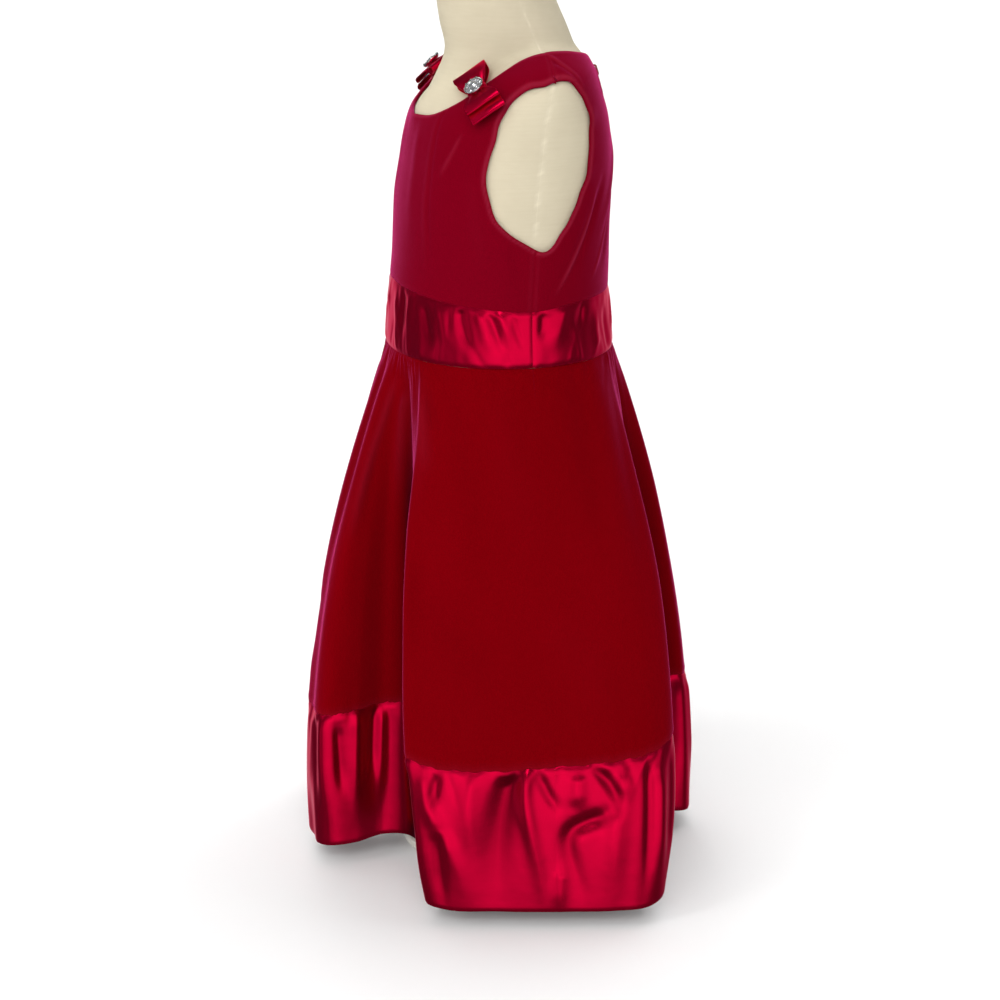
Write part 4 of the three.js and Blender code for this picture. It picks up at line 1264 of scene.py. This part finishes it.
def make_loop(bow, name, side_name, direction, reach, low, high):
    mesh, u, v = flat_cloth(columns=64, rows=26)
    flat = np.stack([u * (2 * reach + 6), v * RIBBON_WIDTH], axis=1) * MM
    start = KNOT_LENGTH / 2 - 0.6
    out = np.sin(np.pi * u) ** 0.7
    middle = (low + high) / 2
    bulge = np.minimum(1, 0.35 + 1.3 * out) * np.sqrt(np.maximum(0, 1 - out**6))
    across = 2 * v - 1
    half = RIBBON_WIDTH / 2 * (0.5 + 0.5 * np.minimum(1, out * 1.5) ** 0.8)
    gather = bell(out, 0.45) * 0.35 * np.sin(across * 8.5)
    n = middle - np.sign(0.5 - u) * (middle - low) * bulge + gather
    n += 0.35 * np.sin(across * 2.3 + direction) * out
    l = start + (reach - start) * out - 0.5 * (across**2) * out
    points = in_frame(bow, direction * l, across * half, n)
    wear(mesh, points, flat)
    bmesh.ops.recalc_face_normals(mesh, faces=mesh.faces)
    area = flat_area(mesh)
    piece = finished(f"satin_{name}_{side_name}", mesh, SATIN, f"{name}_{side_name}")
    thicken(piece, RIBBON_WALL)
    piece.modifiers["wall"].offset = 0
    (2 * reach + 12) * MM


def make_knot(bow, side_name):
    mesh, u, v = flat_cloth(columns=72, rows=22)
    flat = np.stack([u * 2 * (KNOT_WIDTH + KNOT_HIGH), v * KNOT_LENGTH], axis=1) * MM
    turn = 2 * np.pi * u
    across = 2 * v - 1
    round_off = 1 - 0.22 * np.abs(across) ** 3
    pleat = 0.3 * np.sin(across * 9) * (1 - across**2)
    half_rise = (KNOT_HIGH - KNOT_LOW) / 2
    c, s = np.cos(turn), np.sin(turn)
    sideways, upward = (np.sign(part) * np.abs(part) ** KNOT_SQUARENESS for part in (c, s))
    w = (KNOT_WIDTH / 2 * round_off + pleat) * sideways
    n = (KNOT_HIGH + KNOT_LOW) / 2 + (half_rise * round_off + pleat) * upward
    points = in_frame(bow, across * KNOT_LENGTH / 2, w, n)
    wear(mesh, points, flat)
    bmesh.ops.remove_doubles(mesh, verts=mesh.verts, dist=1e-5)
    bmesh.ops.holes_fill(mesh, edges=[edge for edge in mesh.edges if edge.is_boundary], sides=0)
    bmesh.ops.recalc_face_normals(mesh, faces=mesh.faces)
    piece = finished(f"satin_bow_knot_{side_name}", mesh, SATIN, f"bow_knot_{side_name}")


# %% [markdown]
# The jewel is a silver cup with a large clear stone in the middle and a ring of small ones, each held
# by silver claws. A brilliant is a cone cut flat at the top, so a low cone with few sides and a bevel
# is enough.


# %% Jewel
RING_STONES = 9
RING_RADIUS = 5.4
RING_STONE = 1.8
CENTRE_STONE = 3.4
CLAW_RADIUS = 0.55


def round_the_middle(reach, turn, height):
    return Matrix.Translation(Vector((reach * math.cos(turn), reach * math.sin(turn), height)) * MM)


def add_stone(mesh, place, radius, sides):
    height = 0.45 * radius
    made = bmesh.ops.create_cone(
        mesh,
        cap_ends=True,
        segments=sides,
        radius1=radius * MM,
        radius2=0.55 * radius * MM,
        depth=height * MM,
        matrix=place @ Matrix.Translation((0, 0, height / 2 * MM)),
    )
    edges = list({edge for vertex in made["verts"] for edge in vertex.link_edges})
    bmesh.ops.bevel(
        mesh,
        geom=edges,
        offset=0.06 * radius * MM,
        affect="EDGES",
        segments=1,
        profile=0.5,
        material=-1,
    )


def make_jewel(bow, side_name):
    place, across, _, away = bow
    third = away.cross(across)
    seat = KNOT_HIGH + 0.3
    axes = Matrix((across, third, away)).transposed().to_4x4()
    frame_at = Matrix.Translation(place * MM) @ axes
    cup = bmesh.new()
    rim = seat + 1.6
    outside = [(0, seat), (6.0, seat), (6.8, seat + 0.4), (JEWEL_RADIUS, rim), (JEWEL_RADIUS, rim + 0.6)]
    bowl = [(7.2, rim + 0.8), (6.7, rim + 0.4), (0, rim + 0.3)]
    turned(cup, outside + bowl, 48, frame_at)
    for k in range(RING_STONES):
        turn = 2 * math.pi * (k + 0.5) / RING_STONES
        for reach in (RING_RADIUS + 1.5, RING_RADIUS - 1.9):
            spot = frame_at @ round_the_middle(reach, turn, rim + 1.1)
            bmesh.ops.create_icosphere(cup, subdivisions=2, radius=CLAW_RADIUS * MM, matrix=spot)
    setting = finished(f"silver_setting_{side_name}", cup, SILVER, f"jewel_setting_{side_name}")
    stones = bmesh.new()
    centre = frame_at @ Matrix.Translation((0, 0, (rim + 0.5) * MM))
    add_stone(stones, centre, CENTRE_STONE, 8)
    for k in range(RING_STONES):
        turn = 2 * math.pi * k / RING_STONES
        spot = frame_at @ round_the_middle(RING_RADIUS, turn, rim + 0.4)
        add_stone(stones, spot @ Matrix.Rotation(turn, 4, "Z"), RING_STONE, 6)
    piece = finished(f"crystal_stones_{side_name}", stones, CRYSTAL, f"jewel_stone_{side_name}")
    piece.data.shade_flat()


for side, side_name in ((1, "left"), (-1, "right")):
    bow = bow_frame(side)
    for loop in LOOPS:
        make_loop(bow, loop[0], side_name, *loop[1:])
    make_knot(bow, side_name)
    make_jewel(bow, side_name)

# %% [markdown]
# ## Zip
# The slider and its pull are small hard pieces whose shape in the model is right, so they keep it and
# only get their enamel.

# %% Zip
for name in ("zip_slider", "zip_pull"):
    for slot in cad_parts[name].material_slots:
        slot.material = ZIP_ENAMEL

# %% [markdown]
# ## Floor
# A plain white floor fills the view behind the dress. It glows a little, as the lit paper of a studio
# does. Mirrored rays pass through it, so the satin shows the lamps and the dark room instead of paper,
# and it casts no shadow, so the low lamps light the dress from below.

# %% Floor
floor_mesh = bmesh.new()
bmesh.ops.create_grid(floor_mesh, x_segments=1, y_segments=1, size=14)
floor_data = bpy.data.meshes.new("floor")
floor_mesh.to_mesh(floor_data)
floor_mesh.free()
floor_finish = Finish("floor", Roughness=0.9, Emission_Color=(1, 1, 1, 1), Emission_Strength=0.06)
floor_grain = floor_finish.noise(floor_finish.coordinates(), 3.0)
floor_finish.set(Base_Color=floor_finish.blend(floor_grain, (0.69, 0.69, 0.69, 1), (0.71, 0.71, 0.71, 1)))
floor_data.materials.append(floor_finish.material)
floor = bpy.data.objects.new("floor", floor_data)
floor.location.z = -1 * MM
floor.visible_glossy = False
floor.visible_shadow = False
scene.collection.objects.link(floor)
